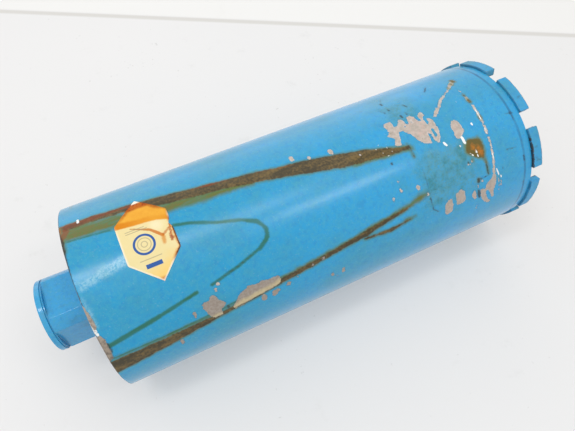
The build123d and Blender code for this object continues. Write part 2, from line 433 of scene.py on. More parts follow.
MARKS: dict[Layer, tuple[Mark, ...]] = {
    Layer.BROWN: (
        Run(((266, 47.8, 42.4), (250, 47.2, 42.0), (233.6, 45.6, 40.6), (222, 44.0, 38.0),
            (211.8, 42.2, 35.4), (196, 39.4, 32.2), (179, 36.5, 29.9), (142.7, 30.1, 21.7),
            (115.5, 24.7, 15.0), (95, 19.2, 12.2), (84, 15.6, 10.8), (74, 12.6, 10.4))),
        Run(((266, -37.2, -48.2), (250, -37.4, -46.6), (233.6, -37.6, -44.3), (202.7, -36.6, -39.6),
            (186, -34.0, -37.6), (170, -31.9, -35.9), (142.7, -28.9, -32.2), (115.5, -24.9, -28.6),
            (90, -21.4, -23.8), (85, -21.0, -22.4))),
        Run(((118, -30.0, -30.6), (113.6, -29.9, -31.6), (101, -30.6, -33.2), (88.2, -29.6, -31.0),
            (84, -29.4, -29.8))), Stroke(((75.2, 14), (74.8, 5)), 0.9),
        Stroke(((264.0, 42), (263.4, 34), (264.2, 29)), 1.5),
        # Round the back
        Run(((266, 131, 122), (240, 130, 123), (205, 128.5, 122.5), (170, 127, 123), (150, 126, 124))),
        Run(((266, -141, -145), (230, -142, -147), (180, -144, -148.5), (120, -147, -150),
            (96, -148.4, -149.6))),
    ),
    Layer.GREEN: (
        Run(((266, 123, 116), (235, 124, 118), (190, 123.5, 120), (160, 123, 121.6))),
        Run(((266, -144, -150), (220, -146, -150.4), (170, -147.6, -151))),
        Run(((266, 44.4, 34.4), (250, 44.0, 33.0), (238, 41.8, 31.2), (225, 39.4, 30.0),
            (210, 36.8, 28.0), (192, 33.6, 26.0), (176, 31.6, 26.0), (164, 29.0, 25.4))),
        Run(((266, -34.6, -37), (240, -35.2, -38), (205, -34.4, -37), (170, -30.2, -33),
            (130, -26.0, -29), (88.2, -19.4, -23.4), (80, -16.8, -22.4), (73, -16.6, -20.6))),
        Run(((110, 20.0, 12.6), (92, 18.4, 10.0), (78, 15.4, 9.0), (72, 12.0, 8.6))),
        Run(((92, -27.8, -31.4), (86, -27.6, -31.0))),
        Stroke(((33.0, -9), (32.4, -16), (32.3, -22)), 2.4),
        Patch(((43.5, 2.5), (31.6, 2.5), (30.4, -8), (31.6, -14), (38, -11), (44.5, -5))),
        Stroke(((258.0, 78), (257.6, 66)), 1.0),
    ),
    Layer.TIDE: (
        Stroke(((211, 20.2), (202.7, 17.9), (190, 12.4), (179, 9.1), (171, 5.2), (167.8, -0.6),
            (169, -5.4), (175.5, -9.7), (188, -14.0), (204.5, -18.1)), 2.1),
        Stroke(((176, 7.4), (171.4, 4.6), (169.4, 2.0), (168.4, -1.0), (168.8, -3.6), (170.4, -6.4),
            (175.5, -9.9)), 2.5),
        Stroke(((212.9, -18.8), (223, -20.8), (233.6, -22.9), (247, -25.0)), 2.4),
        Stroke(((233.6, -22.9), (247, -25.2), (262.5, -27.6)), 3.0),
        Run(((262, 35.2, 34.0), (248, 33.6, 32.0), (240, 32.4, 30.8))),
        Run(((262, -35.2, -36.6), (236, -35.6, -37.2), (206, -34.4, -36.0), (172, -30.4, -31.8))),
    ),
    Layer.RED: (
        Run(((266, 48.4, 43.6), (250, 47.4, 43.2), (236, 46.0, 43.0), (222, 44.4, 41.6))),
        Stroke(((196, 38.6), (176, 35.4)), 1.6), Stroke(((160, 33.0), (140, 28.6)), 1.0),
        Patch(((267, 46), (261.4, 45), (258.6, 42), (260.8, 37.6), (263.2, 35.6), (267, 35))),
        Stroke(((37.4, -3.0), (35.0, -5.0), (33.6, -9.0)), 1.6),
    ),
    # Scuffed paint, partly a painted highlight along the streak of the back tube lamp
    Layer.SCUFF_AND_HIGHLIGHT: (
        Patch(((263, 9.5), (250, 12.6), (236, 15.6), (222, 17.6), (215.5, 16.0), (222, 12.6),
            (240, 9.0), (263, 4.5))), Stroke(((263, 2), (261.6, -14)), 1.4),
    ),
    Layer.MURK: (
        Patch(((78, 5), (68, 9), (54, 6), (45, 2), (41, -12), (37, -20), (40, -28), (47, -33),
            (60, -31), (70, -33), (78, -27), (80, -12))),
        Patch(((79, 46), (71, 52), (60, 48), (57, 43), (60, 35), (68, 33), (76, 36))),
        Patch(((60, 6), (52, 5), (47, 1), (52, -4), (60, -2))),
        Patch(((120, 150), (90, 160), (40, 152), (30, 126), (60, 112), (100, 120))),
        Patch(((40, -110), (12, -104), (6, -150), (24, -168), (52, -140))),
    ),
    Layer.BARE: (
        # Beside the label and along the lower streak
        Patch(((212.8, -26.6), (211.4, -25.8), (209, -26.4), (207.4, -24.2), (205.9, -23.7),
            (204.6, -25.4), (204.4, -28.0), (202.4, -29.6), (201.2, -32.6), (203.0, -34.2),
            (204.2, -34.0), (204.5, -38.6), (206.4, -39.2), (209.6, -38.4), (210.9, -36.0),
            (212.0, -32.4), (212.8, -29.4))),
        Patch(((198.4, -36.6), (195.8, -34.0), (194.2, -31.4), (191.8, -29.6), (189.4, -28.6),
            (187.4, -27.4), (184.8, -28.2), (182.4, -28.6), (180.0, -27.9), (177.0, -29.0),
            (172.8, -29.2), (169.8, -29.0), (170.0, -32.8), (171.0, -35.2), (176, -36.0),
            (182, -36.6), (186, -37.2), (190, -37.6), (192.6, -38.4), (197.6, -38.8))),
        Dot(181, -40.2, 1.5, 1.6), Dot(174.8, -40.2, 1.6, 1.0), Dot(172.8, -39.2, 1.2),
        Dot(166.2, -37.8, 1.4), Dot(229, -46.4, 0.9, 2.6), Dot(201.4, -19.2, 1.1),
        Dot(203.6, -21.8, 0.7, 1.2), Dot(218, -31.2, 0.7, 2.6), Dot(144, -31, 1.0),
        Dot(150.5, -32, 0.6), Dot(160.4, -35.8, 0.6),
        # The back rim
        Patch(((267, 1.6), (264.2, 2.2), (263.6, -3.4), (262.9, -6.4), (262.3, -10), (262.2, -14),
            (263.0, -17.2), (267, -17.8))),
        Patch(((267, -19.2), (262.6, -19.6), (261.2, -22.4), (261.2, -30), (262.0, -36), (267, -38.4))),
        # Single chips on the upper streak
        Dot(139, 33, 1.1, 1.4), Dot(130, 29.2, 0.9, 0.8), Dot(117.4, 27.6, 1.4, 1.0),
        Dot(103, 18.6, 0.6),
        # Large flaky chip
        Patch(((81.5, 31.0), (80.2, 32.4), (76.0, 32.7), (75.8, 29.9), (76.6, 27.6), (73.6, 27.8),
            (72.0, 29.9), (71.4, 31.8), (69.0, 31.2), (68.6, 26.6), (67.0, 26.0), (66.6, 29.4),
            (65.7, 31.2), (63.0, 31.8), (61.5, 29.9), (61.1, 25.6), (59.2, 24.8), (59.3, 29.2),
            (57.8, 30.8), (55.8, 31.4), (55.0, 28.0), (56.3, 27.6), (57.2, 26.9), (57.5, 24.4),
            (57.3, 20.6), (55.9, 21.2), (55.4, 24.9), (53.6, 24.9), (52.7, 21.9), (52.9, 16.1),
            (54.3, 10.7), (56.5, 7.2), (58.2, 8.9), (58.7, 15.0), (60.2, 15.4), (60.7, 8.8),
            (63.5, 9.3), (66.5, 11.6), (68.4, 15.0), (69.5, 18.2), (71.0, 20.4), (73.0, 23.0),
            (75.5, 23.3), (76.5, 20.9), (77.0, 18.0), (78.5, 14.3), (81.2, 14.8), (81.6, 16.6),
            (80.2, 19.3), (80.5, 21.6), (82.4, 22.2), (82.8, 23.5), (81.0, 25.1), (80.5, 27.8)),
            (Dot(56.3, 14.4, 1.0, 3.4), Dot(70.2, 25.0, 0.5), Dot(64.6, 27.2, 0.4, 1.6), Dot(77.4,
            25.4, 0.4))),
        # Oval chip and those beside the rust
        Patch(((45.5, 12.0), (44.9, 14.8), (43.0, 17.4), (41.2, 17.8), (39.4, 15.6), (38.9, 11.9),
            (38.7, 8.8), (40.4, 7.0), (42.8, 5.2), (45.4, 4.9), (45.6, 7.6), (45.2, 9.4))),
        Patch(((64, -31.4), (61.8, -29.4), (59.2, -28.6), (58.4, -33.2), (59.2, -38.4),
            (62.4, -39.2), (64.2, -37.4))),
        Patch(((56.6, -27.2), (54.6, -26.6), (53.4, -25.2), (51.6, -25.4), (50, -27.4),
            (49.4, -32.8), (51.2, -35.4), (55.6, -35.2))),
        Patch(((34.6, -30.2), (33.1, -28.3), (30.8, -27.1), (29.0, -25.2), (27.5, -24.8),
            (27.3, -28.3), (27.7, -32.0), (28.5, -34.5), (29.0, -37.4), (28.7, -40.2), (29.8, -41.1),
            (30.8, -39.0), (31.7, -36.5), (32.7, -34.1), (33.8, -33.7), (34.6, -34.5), (34.8, -36.1),
            (33.8, -39.0), (32.5, -41.5), (30.8, -43.1), (31.5, -44.6), (33.5, -43.5), (35.8, -41.1),
            (37.5, -38.2), (38.7, -35.7), (38.8, -33.3), (38.5, -31.2), (36.7, -31.6), (35.4, -32.4))),
        Patch(((44.8, -33.3), (44.2, -30.8), (42.7, -30.2), (41.7, -32.4), (41.3, -35.7),
            (42.5, -36.7), (44.0, -35.3))), Dot(37.0, -25.9, 0.7, 0.6), Dot(40.4, -28.0, 0.5, 1.2),
        Dot(40.8, -44, 0.4, 2.0),
        # Diagonal scratch, in pieces
        Patch(((51.4, 24.0), (50.2, 23.6), (46.4, 26.4), (44.6, 28.2), (44.2, 29.8), (46.0, 30.0),
            (48.6, 27.6), (50.4, 25.6))),
        Patch(((44.6, 28.8), (42.2, 30.0), (39.2, 33.2), (38.4, 35.2), (39.6, 35.6), (41.6, 33.4),
            (44.4, 31.0))), Stroke(((38.2, 35.4), (35.6, 37.0)), 1.4),
        Stroke(((34.8, 37.4), (32.6, 38.8)), 0.8), Stroke(((32.0, 39.2), (30.4, 40.4)), 1.4),
        Patch(((29.8, 40.0), (27.2, 41.8), (23.4, 44.4), (20.4, 47.6), (20.8, 49.0), (22.8, 48.2),
            (26.2, 45.4), (29.2, 42.6))),
        # Lower scatter and the mid-barrel dots
        Dot(140, -46.6, 0.9, 1.6), Dot(133, -47, 1.0, 2.2), Dot(137, -50, 0.5), Dot(79, -13, 0.9, 1.2),
        Dot(95.4, -14, 0.8, 1.0), Dot(89.6, -5, 0.7), Dot(89.6, -10.6, 0.7, 1.4),
        Dot(74, -19.6, 0.6, 1.0), Dot(44.4, -11.6, 0.5, 0.8), Dot(41.4, -10.8, 0.4, 1.4),
        Dot(42.8, -12.2, 0.4),
        # Worn line round the crown end
        Stroke(((24.6, 38), (24.8, 30)), 0.5), Stroke(((24.9, 29.4), (25.0, 26)), 1.7),
        Stroke(((24.9, 21.8), (25.0, 16.6)), 1.5), Stroke(((25.1, 15.6), (25.3, 10.0)), 1.9),
        Stroke(((25.4, 9.2), (25.6, 5.4)), 1.4), Stroke(((25.7, 4.6), (25.9, 1.8)), 1.8),
        Stroke(((26.0, -1), (26.1, -3.4)), 1.5), Stroke(((26.3, -4.6), (26.6, -8.4)), 1.0),
        Stroke(((26.7, -9), (27.4, -16.6)), 1.5), Stroke(((27.4, -16), (28.0, -21), (28.6, -25)), 1.7),
        Stroke(((25.4, -28), (24.8, -38)), 0.4), Stroke(((23.8, -27), (23.4, -35)), 0.4),
    ),
    Layer.WHITE_AND_GLINT: (
        Stroke(((54.1, 6.0), (53.2, 4.2)), 1.5), Dot(45.5, 0.6, 0.7),
        Stroke(((42.2, 5.2), (41.8, 1.4)), 1.7), Dot(32.4, 10.6, 0.7, 0.6), Dot(254.4, 47, 0.6, 2.6),
        Dot(91, 20.2, 0.5), Dot(87, 16.6, 0.5), Dot(88.4, 11.6, 0.5), Dot(93.4, 17.8, 0.4),
        Dot(90.6, 14.4, 0.4), Dot(85.4, 13.2, 0.4), Stroke(((25.0, 20), (25.3, 11)), 0.7),
        Stroke(((25.7, 6), (25.9, 2)), 0.8), Stroke(((26.4, -6), (27.2, -15)), 0.6),
        Stroke(((26.3, -21.6), (25.6, -24), (24.9, -26.8)), 0.8), Dot(23.4, -28, 0.4, 0.8),
        # The dot at 263.2 along and -17.8 round is a painted glint on the back rim
        Stroke(((264.8, -11), (264.3, -18.2)), 1.2), Dot(263.2, -17.8, 0.6, 2.6), Dot(122, -26.2, 0.4),
        Dot(112, -25.2, 0.4), Dot(32.0, 29, 0.4, 1.2),
        # Loose flakes on the rust
        Patch(((37.6, -6.4), (36.9, -4.4), (36.1, -6.4), (36.8, -7.4))),
        Stroke(((40.4, -6.8), (39.0, -8.2)), 0.6), Dot(36.6, -9.0, 0.5, 0.6), Dot(41.4, -5.8, 0.4),
    ),
    Layer.RUST: (
        Patch(((40.5, 1.8), (38.9, 2.8), (36.6, 1.9), (33.5, 1.1), (31.9, 0.3), (31.3, -2.5),
            (31.6, -7.0), (32.2, -10.3), (33.3, -12.3), (35.1, -11.1), (37.0, -10.3), (38.9, -8.7),
            (40.5, -7.0), (42.4, -5.8), (43.3, -4.1), (42.8, -1.7), (41.2, 0.0))),
        Stroke(((33.2, -10), (32.6, -15)), 1.0), Dot(39.4, -24.2, 0.9, 0.6), Dot(40.6, -10.4, 0.5, 0.6),
        Dot(25.2, 12.6, 0.7, 1.2), Dot(24.9, 26.0, 0.8, 2.0), Dot(21.6, 47.6, 1.0, 2.2),
        Dot(24.6, 44.6, 0.6, 1.6), Dot(28.4, 42.0, 0.4, 0.8), Dot(24.9, 31.2, 0.5, 0.6),
        Dot(264.4, 44, 1.2, 3.0),
    ),
    Layer.DARK: (
        Patch(((41.0, -29.8), (38.8, -31.6), (38.4, -36.6), (39.6, -38.0), (41.2, -34.4))),
        Dot(39.6, -24.4, 1.0, 1.4), Stroke(((38.4, -24.0), (33.4, -23.8)), 0.8),
        Stroke(((32.6, -16), (32.4, -23)), 0.9), Stroke(((74.8, 12.8), (74.2, 6.4)), 1.0),
        Stroke(((72.8, -3), (73.0, -20)), 0.15), Stroke(((73, -22), (72, -31)), 0.7),
        Stroke(((71.8, -31), (68.6, -33.8)), 0.6), Stroke(((42.2, 47.4), (38.6, 51.6)), 1.1),
        Dot(89, 6.2, 0.6, 0.8), Stroke(((71.2, 50), (66.8, 60)), 0.5), Dot(71.0, 51, 0.6, 2.4),
        Dot(71.0, 42.6, 0.5, 1.6), Stroke(((61.2, 42.6), (60.0, 39.4)), 0.9), Dot(67.8, 33.2, 0.7, 1.6),
        Dot(63.8, 34.0, 0.5, 1.6), Dot(75.4, 43.8, 0.4, 1.0), Dot(74.4, 41.4, 0.4, 1.4),
        Stroke(((9.2, 9.0), (7.4, 8.2), (5.2, 8.4), (4.2, 7.4)), 0.7), Dot(6.0, 8.0, 0.8, 0.8),
        Dot(5.6, 5.0, 0.4, 2.0), Dot(44.0, -10.8, 0.6, 0.6), Dot(5.8, -22.4, 0.7, 3.0),
        Dot(6.0, -40, 0.6, 1.6), Dot(21.6, -23, 0.4, 1.4), Stroke(((17, -12.6), (10.4, -13.4)), 0.5),
        Stroke(((198, -38.4), (190, -37.8), (180, -36.8), (170, -35.2)), 0.9),
        Dot(200.6, -35.4, 0.8, 1.4), Stroke(((178, -10.6), (188, -14.0), (204.2, -18.0)), 0.3),
        Stroke(((260.9, -25.6), (260.8, -32.4)), 0.8), Stroke(((260.6, -9.6), (260.4, -13.2)), 0.5),
        Stroke(((265.4, 48), (264.2, 34), (265.0, 14), (265.4, 4)), 2.2),
    ),
}


# ---------------------------------------------------------------------------------------------
# Finishes


@dataclass(frozen=True)
class Enamel:
    """Sprayed blue enamel, a little faded and clouded, before any wear."""

    crown_tone: Colour = tint(42, 152, 206)
    back_tone: Colour = tint(24, 146, 194)
    cloud_tone: Colour = tint(58, 140, 162)
    cloudiness: float = 0.42
    mottle: Colour = tint(66, 158, 178)
    deep: Colour = tint(20, 118, 184)
    dust: Colour = tint(170, 196, 206)

    def coat(self, work: Paintwork, along: Wire | float) -> tuple[Socket, Socket]:
        """Lay the paint.

        Args:
            work: the material's tree.
            along: 0 where the paint has its crown tone, 1 where it has its back tone.

        Returns:
            The paint's colour and its normal.
        """
        clouds = work.noise(34, 4, 0.6).rise(0.38, 0.68)
        patches = work.noise(11, 4, 0.6, 3).rise(0.46, 0.7)
        colour = work.coats(self.crown_tone, (along, self.back_tone),
                            (clouds * self.cloudiness + patches * 0.26, self.cloud_tone),
                            (work.noise(2.0, 4, 0.7, 5).rise(0.44, 0.62) * 0.34, self.mottle),
                            (work.noise(3.0, 4, 0.7, 21).rise(0.5, 0.66) * 0.3, self.deep),
                            (work.noise(0.9, 2, offset=9).rise(0.6, 0.8) * 0.16, self.dust))
        peel = work.bump(work.noise(1.4, 1, offset=5), 0.02)
        return colour, work.bump(work.noise(24, 1, offset=7), 0.25, peel)


class BarrelWork(Paintwork):
    """The barrel's node tree, with the places and noises that its layers share."""

    def __init__(self) -> None:
        """Start the tree and add what the layers share."""
        super().__init__("barrel_enamel")
        x, y, z = self.parts(self.place)
        across, up = cos(radians(WORN_SIDE_TURN)), sin(radians(WORN_SIDE_TURN))
        self.along = z / MM - TUBE_FOOT
        self.facing = (x * across + y * up) / (TUBE_RADIUS * MM)  # 1 in the middle of the worn side
        self.aside = (x * -up + y * across) / (TUBE_RADIUS * MM)  # 1 a quarter turn further round
        self.rag = self.ragged(7, 4, 0.62, 11)
        self.drag = self.noise(3, 3, offset=13, stretch=(1, 1, 7)) - 0.5
        self.fine = self.ragged(1.3, offset=17)
        self.grain = self.ragged(0.7, offset=19)

    def off(self, layer: Layer) -> Wire:
        """Distance from one kind of mark, in millimetres."""
        return self.attribute(layer.value)


@dataclass(frozen=True)
class BarrelFinish:
    """Enamel with every mark that the barrel has collected."""

    enamel: Enamel = Enamel()
    murk: tuple[Colour, Colour] = (tint(92, 138, 124), tint(52, 116, 110))
    speck: Colour = tint(40, 92, 92)
    # pale scuffed paint, partly a painted highlight
    scuff_and_highlight: Colour = tint(158, 202, 216)
    stain_dark: Colour = tint(62, 48, 20)
    stain_light: Colour = tint(114, 90, 44)
    stain_red: Colour = tint(128, 58, 20)
    stain_green: Colour = tint(80, 106, 46)
    tide: Colour = tint(28, 96, 62)
    # painted shade round each chip
    chip_lip_shade: Colour = tint(28, 84, 112)
    primer: tuple[Colour, Colour] = (tint(188, 176, 166), tint(170, 160, 150))
    primer_flush: Colour = tint(198, 170, 160)
    primer_dirt: Colour = tint(126, 104, 76)
    # painted highlight where the paint's edge meets the bare primer
    primer_edge_highlight: Colour = tint(214, 212, 206)
    # primer darkened on the lower side, painted shade
    primer_painted_shade: tuple[Colour, Colour] = (tint(152, 142, 133), tint(132, 120, 108))
    primer_soaked: Colour = tint(204, 188, 142)
    rim_metal: tuple[Colour, Colour] = (tint(150, 136, 118), tint(86, 78, 68))
    rust: tuple[Colour, Colour] = (tint(96, 80, 22), tint(172, 104, 8))
    rust_crust: Colour = tint(70, 62, 30)
    rust_halo: Colour = tint(92, 118, 84)
    # white of scrapes, and of the painted glint on the back rim
    scrape: Colour = tint(232, 234, 232)
    dirt: Colour = tint(44, 52, 46)
    # painted shade in the step of the crown band
    step_shade: Colour = tint(24, 92, 132)
    # dirt and painted shade in the crevice against the segments
    foot_dirt_and_shade: Colour = tint(40, 60, 66)
    rim_dirt: Colour = tint(70, 62, 54)

    def _weathered(self, work: BarrelWork, colour: Socket, murk: Wire, green: Wire) -> Socket:
        """Murky water marks, scuffed paint with a painted highlight, green stain and tide lines.

        Args:
            work: the material's tree.
            colour: the enamel's colour.
            murk: where murky water has stood, from 0 to 1.
            green: where green stain lies, from 0 to 1.

        Returns:
            The weathered colour.
        """
        rag, drag, fine, grain = work.rag, work.drag, work.fine, work.grain
        speck = (work.noise(1.7, 3, 0.7, 43) + murk * 0.08).rise(0.66, 0.76)
        # Pale scuffs, partly a painted highlight
        scuff_and_highlight = (work.off(Layer.SCUFF_AND_HIGHLIGHT) + rag * 5.0 + fine * 2.0).fall(-1.6, 1.6)
        tide = (work.off(Layer.TIDE) + rag * 0.8 + grain * 0.6).fall(-0.8, 0.45)
        aged = (drag * 1.4 + fine + 0.5).rise(0.35, 0.8) * 0.5
        green_tone = work.mix(aged, self.stain_green, self.stain_light)
        return work.coats(
            colour,
            (murk * (0.46 + rag * 1.5 + fine).at_least(0.0), work.mix((rag + 0.5).rise(0.4, 0.65), *self.murk)),
            (speck * (murk * 0.36 + 0.1), self.speck),
            (scuff_and_highlight * (0.34 + fine * 1.2 + grain * 1.2).at_least(0.0), self.scuff_and_highlight),
            (green * (0.92 + drag * 1.2), green_tone),
            (tide * (0.82 + drag * 0.5), self.tide))

    def _streaked(self, work: BarrelWork, colour: Socket) -> tuple[Socket, Wire]:
        """Brown streaks with a green halo and reddened stretches.

        Args:
            work: the material's tree.
            colour: the colour below.

        Returns:
            The streaked colour, and where brown stain lies.
        """
        rag, drag, fine = work.rag, work.drag, work.fine
        edge = work.off(Layer.BROWN) + rag * 2.2 + drag * 1.0 + fine * 0.8
        brown = edge.fall(-0.6, 0.3)
        core = work.mix((drag * 1.4 + 0.45 + fine * 1.3 + rag * 0.6).rise(0.15, 0.95),
                        self.stain_dark, self.stain_light)
        red = (work.off(Layer.RED) + rag * 2.4 + fine * 0.8).fall(-0.9, 0.2)
        return work.coats(colour, (edge.fall(-0.2, 1.8) * 0.6, self.stain_green), (brown * 0.95, core),
                          (red * (0.62 + drag + fine * 0.6), self.stain_red)), brown

    def _chipped(self, work: BarrelWork, colour: Socket) -> tuple[Socket, Wire]:
        """Chips down to the primer, grey and streaked where the barrel was dirty, with painted shade round
        them, a painted highlight just inside their edges and painted shade on the lower side.

        Args:
            work: the material's tree.
            colour: the colour below.

        Returns:
            The chipped colour, and where primer is bare.
        """
        rag, drag, fine, along = work.rag, work.drag, work.fine, work.along
        flakes = (0.665 - work.noise(13, 4, 0.55, 47)) * 26.0 + work.facing.rise(-0.12, 0.06) * 20.0
        jag = work.ragged(1.9, 5, 0.75, 53)
        edge = work.off(Layer.BARE).at_most(flakes) + rag * 0.7 + jag * 3.0 + work.grain * 0.4
        bare = edge.fall(-0.14, 0.12)
        # A ring of painted shade just outside each chip
        lip_shade = edge.fall(0.1, 0.5) * (1.0 - bare)
        soaked = (work.off(Layer.BROWN) + rag * 4.0 + fine * 1.6).fall(-1.6, 1.4)
        soaked = soaked * along.rise(150, 165) * (1.0 - along.rise(220, 230))
        metal = work.coats(
            work.mix(work.noise(2.2, 3, offset=23).rise(0.35, 0.65), *self.primer),
            ((rag * 1.6 + fine + 0.5).rise(0.55, 0.85) * 0.6, self.primer_flush),
            ((work.noise(1.1, 2, offset=29) + drag * 0.3).rise(0.62, 0.8) * 0.6, self.primer_dirt),
            # A painted highlight just inside each chip's edge
            (edge.rise(-0.6, -0.15) * (fine + 0.5).rise(0.35, 0.6) * 0.5, self.primer_edge_highlight),
            # Painted shade: chips on the lower side are darker, most of all mid-barrel
            (work.aside.fall(-0.45, -0.3) * (along.rise(90, 150) * 0.5 + 0.3),
             work.mix((fine + 0.5).rise(0.3, 0.7), *self.primer_painted_shade)),
            (soaked * 0.7, self.primer_soaked),
            (along.rise(258, 262) * 0.6, work.mix((fine + rag + 0.5).rise(0.35, 0.65), *self.rim_metal)))
        return work.coats(colour, (lip_shade * (rag + 0.5).rise(0.3, 0.6) * 0.36, self.chip_lip_shade), (bare, metal)), bare

    def _rusted(self, work: BarrelWork, colour: Socket) -> tuple[Socket, Wire]:
        """Orange rust with a crust, a glow and a halo.

        Args:
            work: the material's tree.
            colour: the colour below.

        Returns:
            The rusted colour, and where rust lies.
        """
        gap = work.off(Layer.RUST) + work.rag * 1.8 + work.fine * 1.6
        rust = gap.fall(-0.7, 0.4)
        glow = (work.fine + 0.5) * 0.5 + work.ragged(2.6, 3, offset=19) + work.off(Layer.RED).fall(-1, 3) * 0.5
        crust = (work.grain + work.fine).rise(0.1, 0.3) * 0.4
        tone = work.coats(work.mix(glow.rise(0.34, 0.85), *self.rust), (crust, self.rust_crust))
        return work.coats(colour, (gap.fall(0.2, 1.6) * 0.5, self.rust_halo), (rust * 0.94, tone)), rust

    def material(self) -> bpy.types.Material:
        """The barrel's painted outside."""
        work = BarrelWork()
        rag, fine, along = work.rag, work.fine, work.along
        colour, normal = self.enamel.coat(work, along.rise(60, 230))
        murk = (work.off(Layer.MURK) + work.ragged(15, 5, 0.65, 41) * 44.0).fall(-9, 8)
        green = (work.off(Layer.GREEN) + rag * 3.6 + work.drag * 2.4 + fine * 1.2).fall(-2.6, 1.2)
        colour = self._weathered(work, colour, murk, green)
        colour, brown = self._streaked(work, colour)
        colour, bare = self._chipped(work, colour)
        colour, rust = self._rusted(work, colour)
        # White scrapes, and the painted glint on the back rim
        white = (work.off(Layer.WHITE_AND_GLINT) + fine * 0.9).fall(-0.14, 0.14)
        dark = (work.off(Layer.DARK) + rag * 0.9 + fine * 1.1).fall(-0.45, 0.4)

        # Painted shade in the step of the crown band, dirt with painted shade against the segments, and dirt on
        # the back rim
        lower = work.noise(9, 3, offset=31)
        # Painted shade along the step at the top of the crown band
        step = (abs(along - 5.4) + fine * 0.5).fall(0.4, 1.3) * (0.56 + (lower - 0.5) * 1.2)
        # Dirt and painted shade in the crevice against the segments
        foot = (along + rag * 1.2).fall(0.05, 0.7) * (lower + rag).rise(0.5, 0.75)
        rim = (along + rag * 0.8 + fine * 0.6).rise(263.6, 264.2)
        rim = rim * (work.noise(14, 2, offset=33).rise(0.3, 0.5) * 0.8)
        colour = work.coats(colour, (white, self.scrape), (dark * 0.8, self.dirt),
                            (step.at_least(0.0), self.step_shade), (foot * 0.7, self.foot_dirt_and_shade),
                            (rim * (1.0 - bare), self.rim_dirt))

        worn = bare.at_least(white)
        stained = brown.at_least(rust).at_least(dark)
        rough = work.noise(9, 2, offset=37) * 0.1 + 0.16
        rough = rough + (0.62 - rough) * stained.at_least(green * 0.5).at_least(murk * 0.3)
        rough = rough + (0.5 - rough) * worn
        normal = work.bump(1.0 - worn, 0.14, normal)
        normal = work.bump(stained * (fine + 0.7), 0.05, normal)
        return work.finish(Base_Color=colour, Roughness=rough, Metallic=worn * 0.15, Normal=normal,
                           Sheen_Weight=0.18, Sheen_Roughness=0.35, IOR=1.42)


@dataclass(frozen=True)
class BoreFinish:
    """Bare tube steel inside the barrel, rusted by cooling water and grey with old slurry."""

    steel: Colour = tint(112, 108, 104)
    rust: tuple[Colour, Colour] = (tint(110, 74, 48), tint(76, 54, 40))
    slurry: Colour = tint(168, 164, 156)

    def material(self) -> bpy.types.Material:
        """The barrel's bore."""
        work = Paintwork("bore_steel")
        rust = work.noise(9, 5, 0.7).rise(0.38, 0.62)
        runs = work.noise(5, 4, offset=4, stretch=(1, 1, 9)).rise(0.46, 0.68)
        grain = work.noise(0.8, 2, offset=8)
        colour = work.coats(self.steel, (rust * 0.85, work.mix(grain.rise(0.3, 0.7), *self.rust)),
                            (runs * 0.75, self.slurry))
        return work.finish(Base_Color=colour, Roughness=0.55 + rust * 0.25,
                           Metallic=(1.0 - rust) * (1.0 - runs) * 0.6,
                           Normal=work.bump(grain + rust * 0.6, 0.08))


@dataclass(frozen=True)
class SegmentFinish:
    """Overpainted diamond segments, ground bare on the faces that cut."""

    enamel: Enamel = Enamel(tint(40, 148, 202), tint(40, 148, 202), tint(52, 134, 158), 0.7)
    blotch: Colour = tint(46, 88, 100)
    grime: Colour = tint(40, 78, 84)
    matrix: tuple[Colour, Colour] = (tint(138, 130, 120), tint(98, 92, 86))
    matrix_rust: Colour = tint(128, 100, 74)
    # darker blue of painted shade on the ledge at the joint
    joint_shade: Colour = tint(26, 74, 108)
    flux: tuple[Colour, Colour] = (tint(24, 30, 34), tint(72, 54, 42))
    caked: Point = (-35.6, -39.8)  # where brazing flux and dirt have gathered in the joint, across the axis

    def material(self) -> bpy.types.Material:
        """The segments' paint and their sintered metal."""
        work = Paintwork("segment_paint")
        x, y, z = work.parts(work.place)
        height, radius = z / MM, length(x, y) / MM
        colour, normal = self.enamel.coat(work, 0.0)
        rag, fine = work.ragged(3.2, 4, 0.6, 2), work.ragged(0.8, offset=6)
        blotch = (work.noise(4.5, 3, offset=12) + fine * 0.2).rise(0.6, 0.72)
        grime = (work.noise(2.4, 4, 0.7, 27) + rag * 0.2).rise(0.62, 0.72)
        corner = (work.attribute("edge_wear") + rag * 0.9 + fine * 0.4).rise(0.5, 0.85)
        cutting = (height + rag * 0.9 + fine * 0.5).fall(0.14, 0.5)
        inside = (radius + rag * 0.5).fall(51.0, 51.6) * (rag * 2.0 + 0.5).rise(0.3, 0.7)
        bare = cutting.at_least(corner * 0.55).at_least(inside)
        grains = work.noise(0.45, 2, offset=15).rise(0.35, 0.65)
        metal = work.coats(work.mix(grains, *self.matrix),
                           (work.noise(5, 3, offset=18).rise(0.5, 0.7) * 0.6, self.matrix_rust))
        caked = (length(x / MM - self.caked[0], y / MM - self.caked[1]) + rag * 6.0).fall(9, 13)
        # Painted shade: darker blue along the ledge at the top of each segment
        joint_shade = (height + rag * 0.6).rise(6.2, 6.65) * (work.noise(8, 3, offset=21).rise(0.3, 0.6) * 0.5)
        thick = (height + rag * 2.6 + fine * 1.4).rise(5.95, 6.3) * (rag + fine * 0.8 + 0.5).rise(0.3, 0.5)
        colour = work.coats(colour, (blotch * 0.5, self.blotch), (grime * 0.4, self.grime), (bare, metal),
                            (joint_shade, self.joint_shade),
                            (caked * thick * 0.92, work.mix((fine + 0.5).rise(0.5, 0.7), *self.flux)))
        rough = work.noise(6, 2, offset=24) * 0.2 + 0.34 + bare * 0.2
        normal = work.bump((1.0 - bare) + grains * bare * 0.6, 0.12, normal)
        return work.finish(Base_Color=colour, Roughness=rough, Metallic=bare * 0.6, Normal=normal)


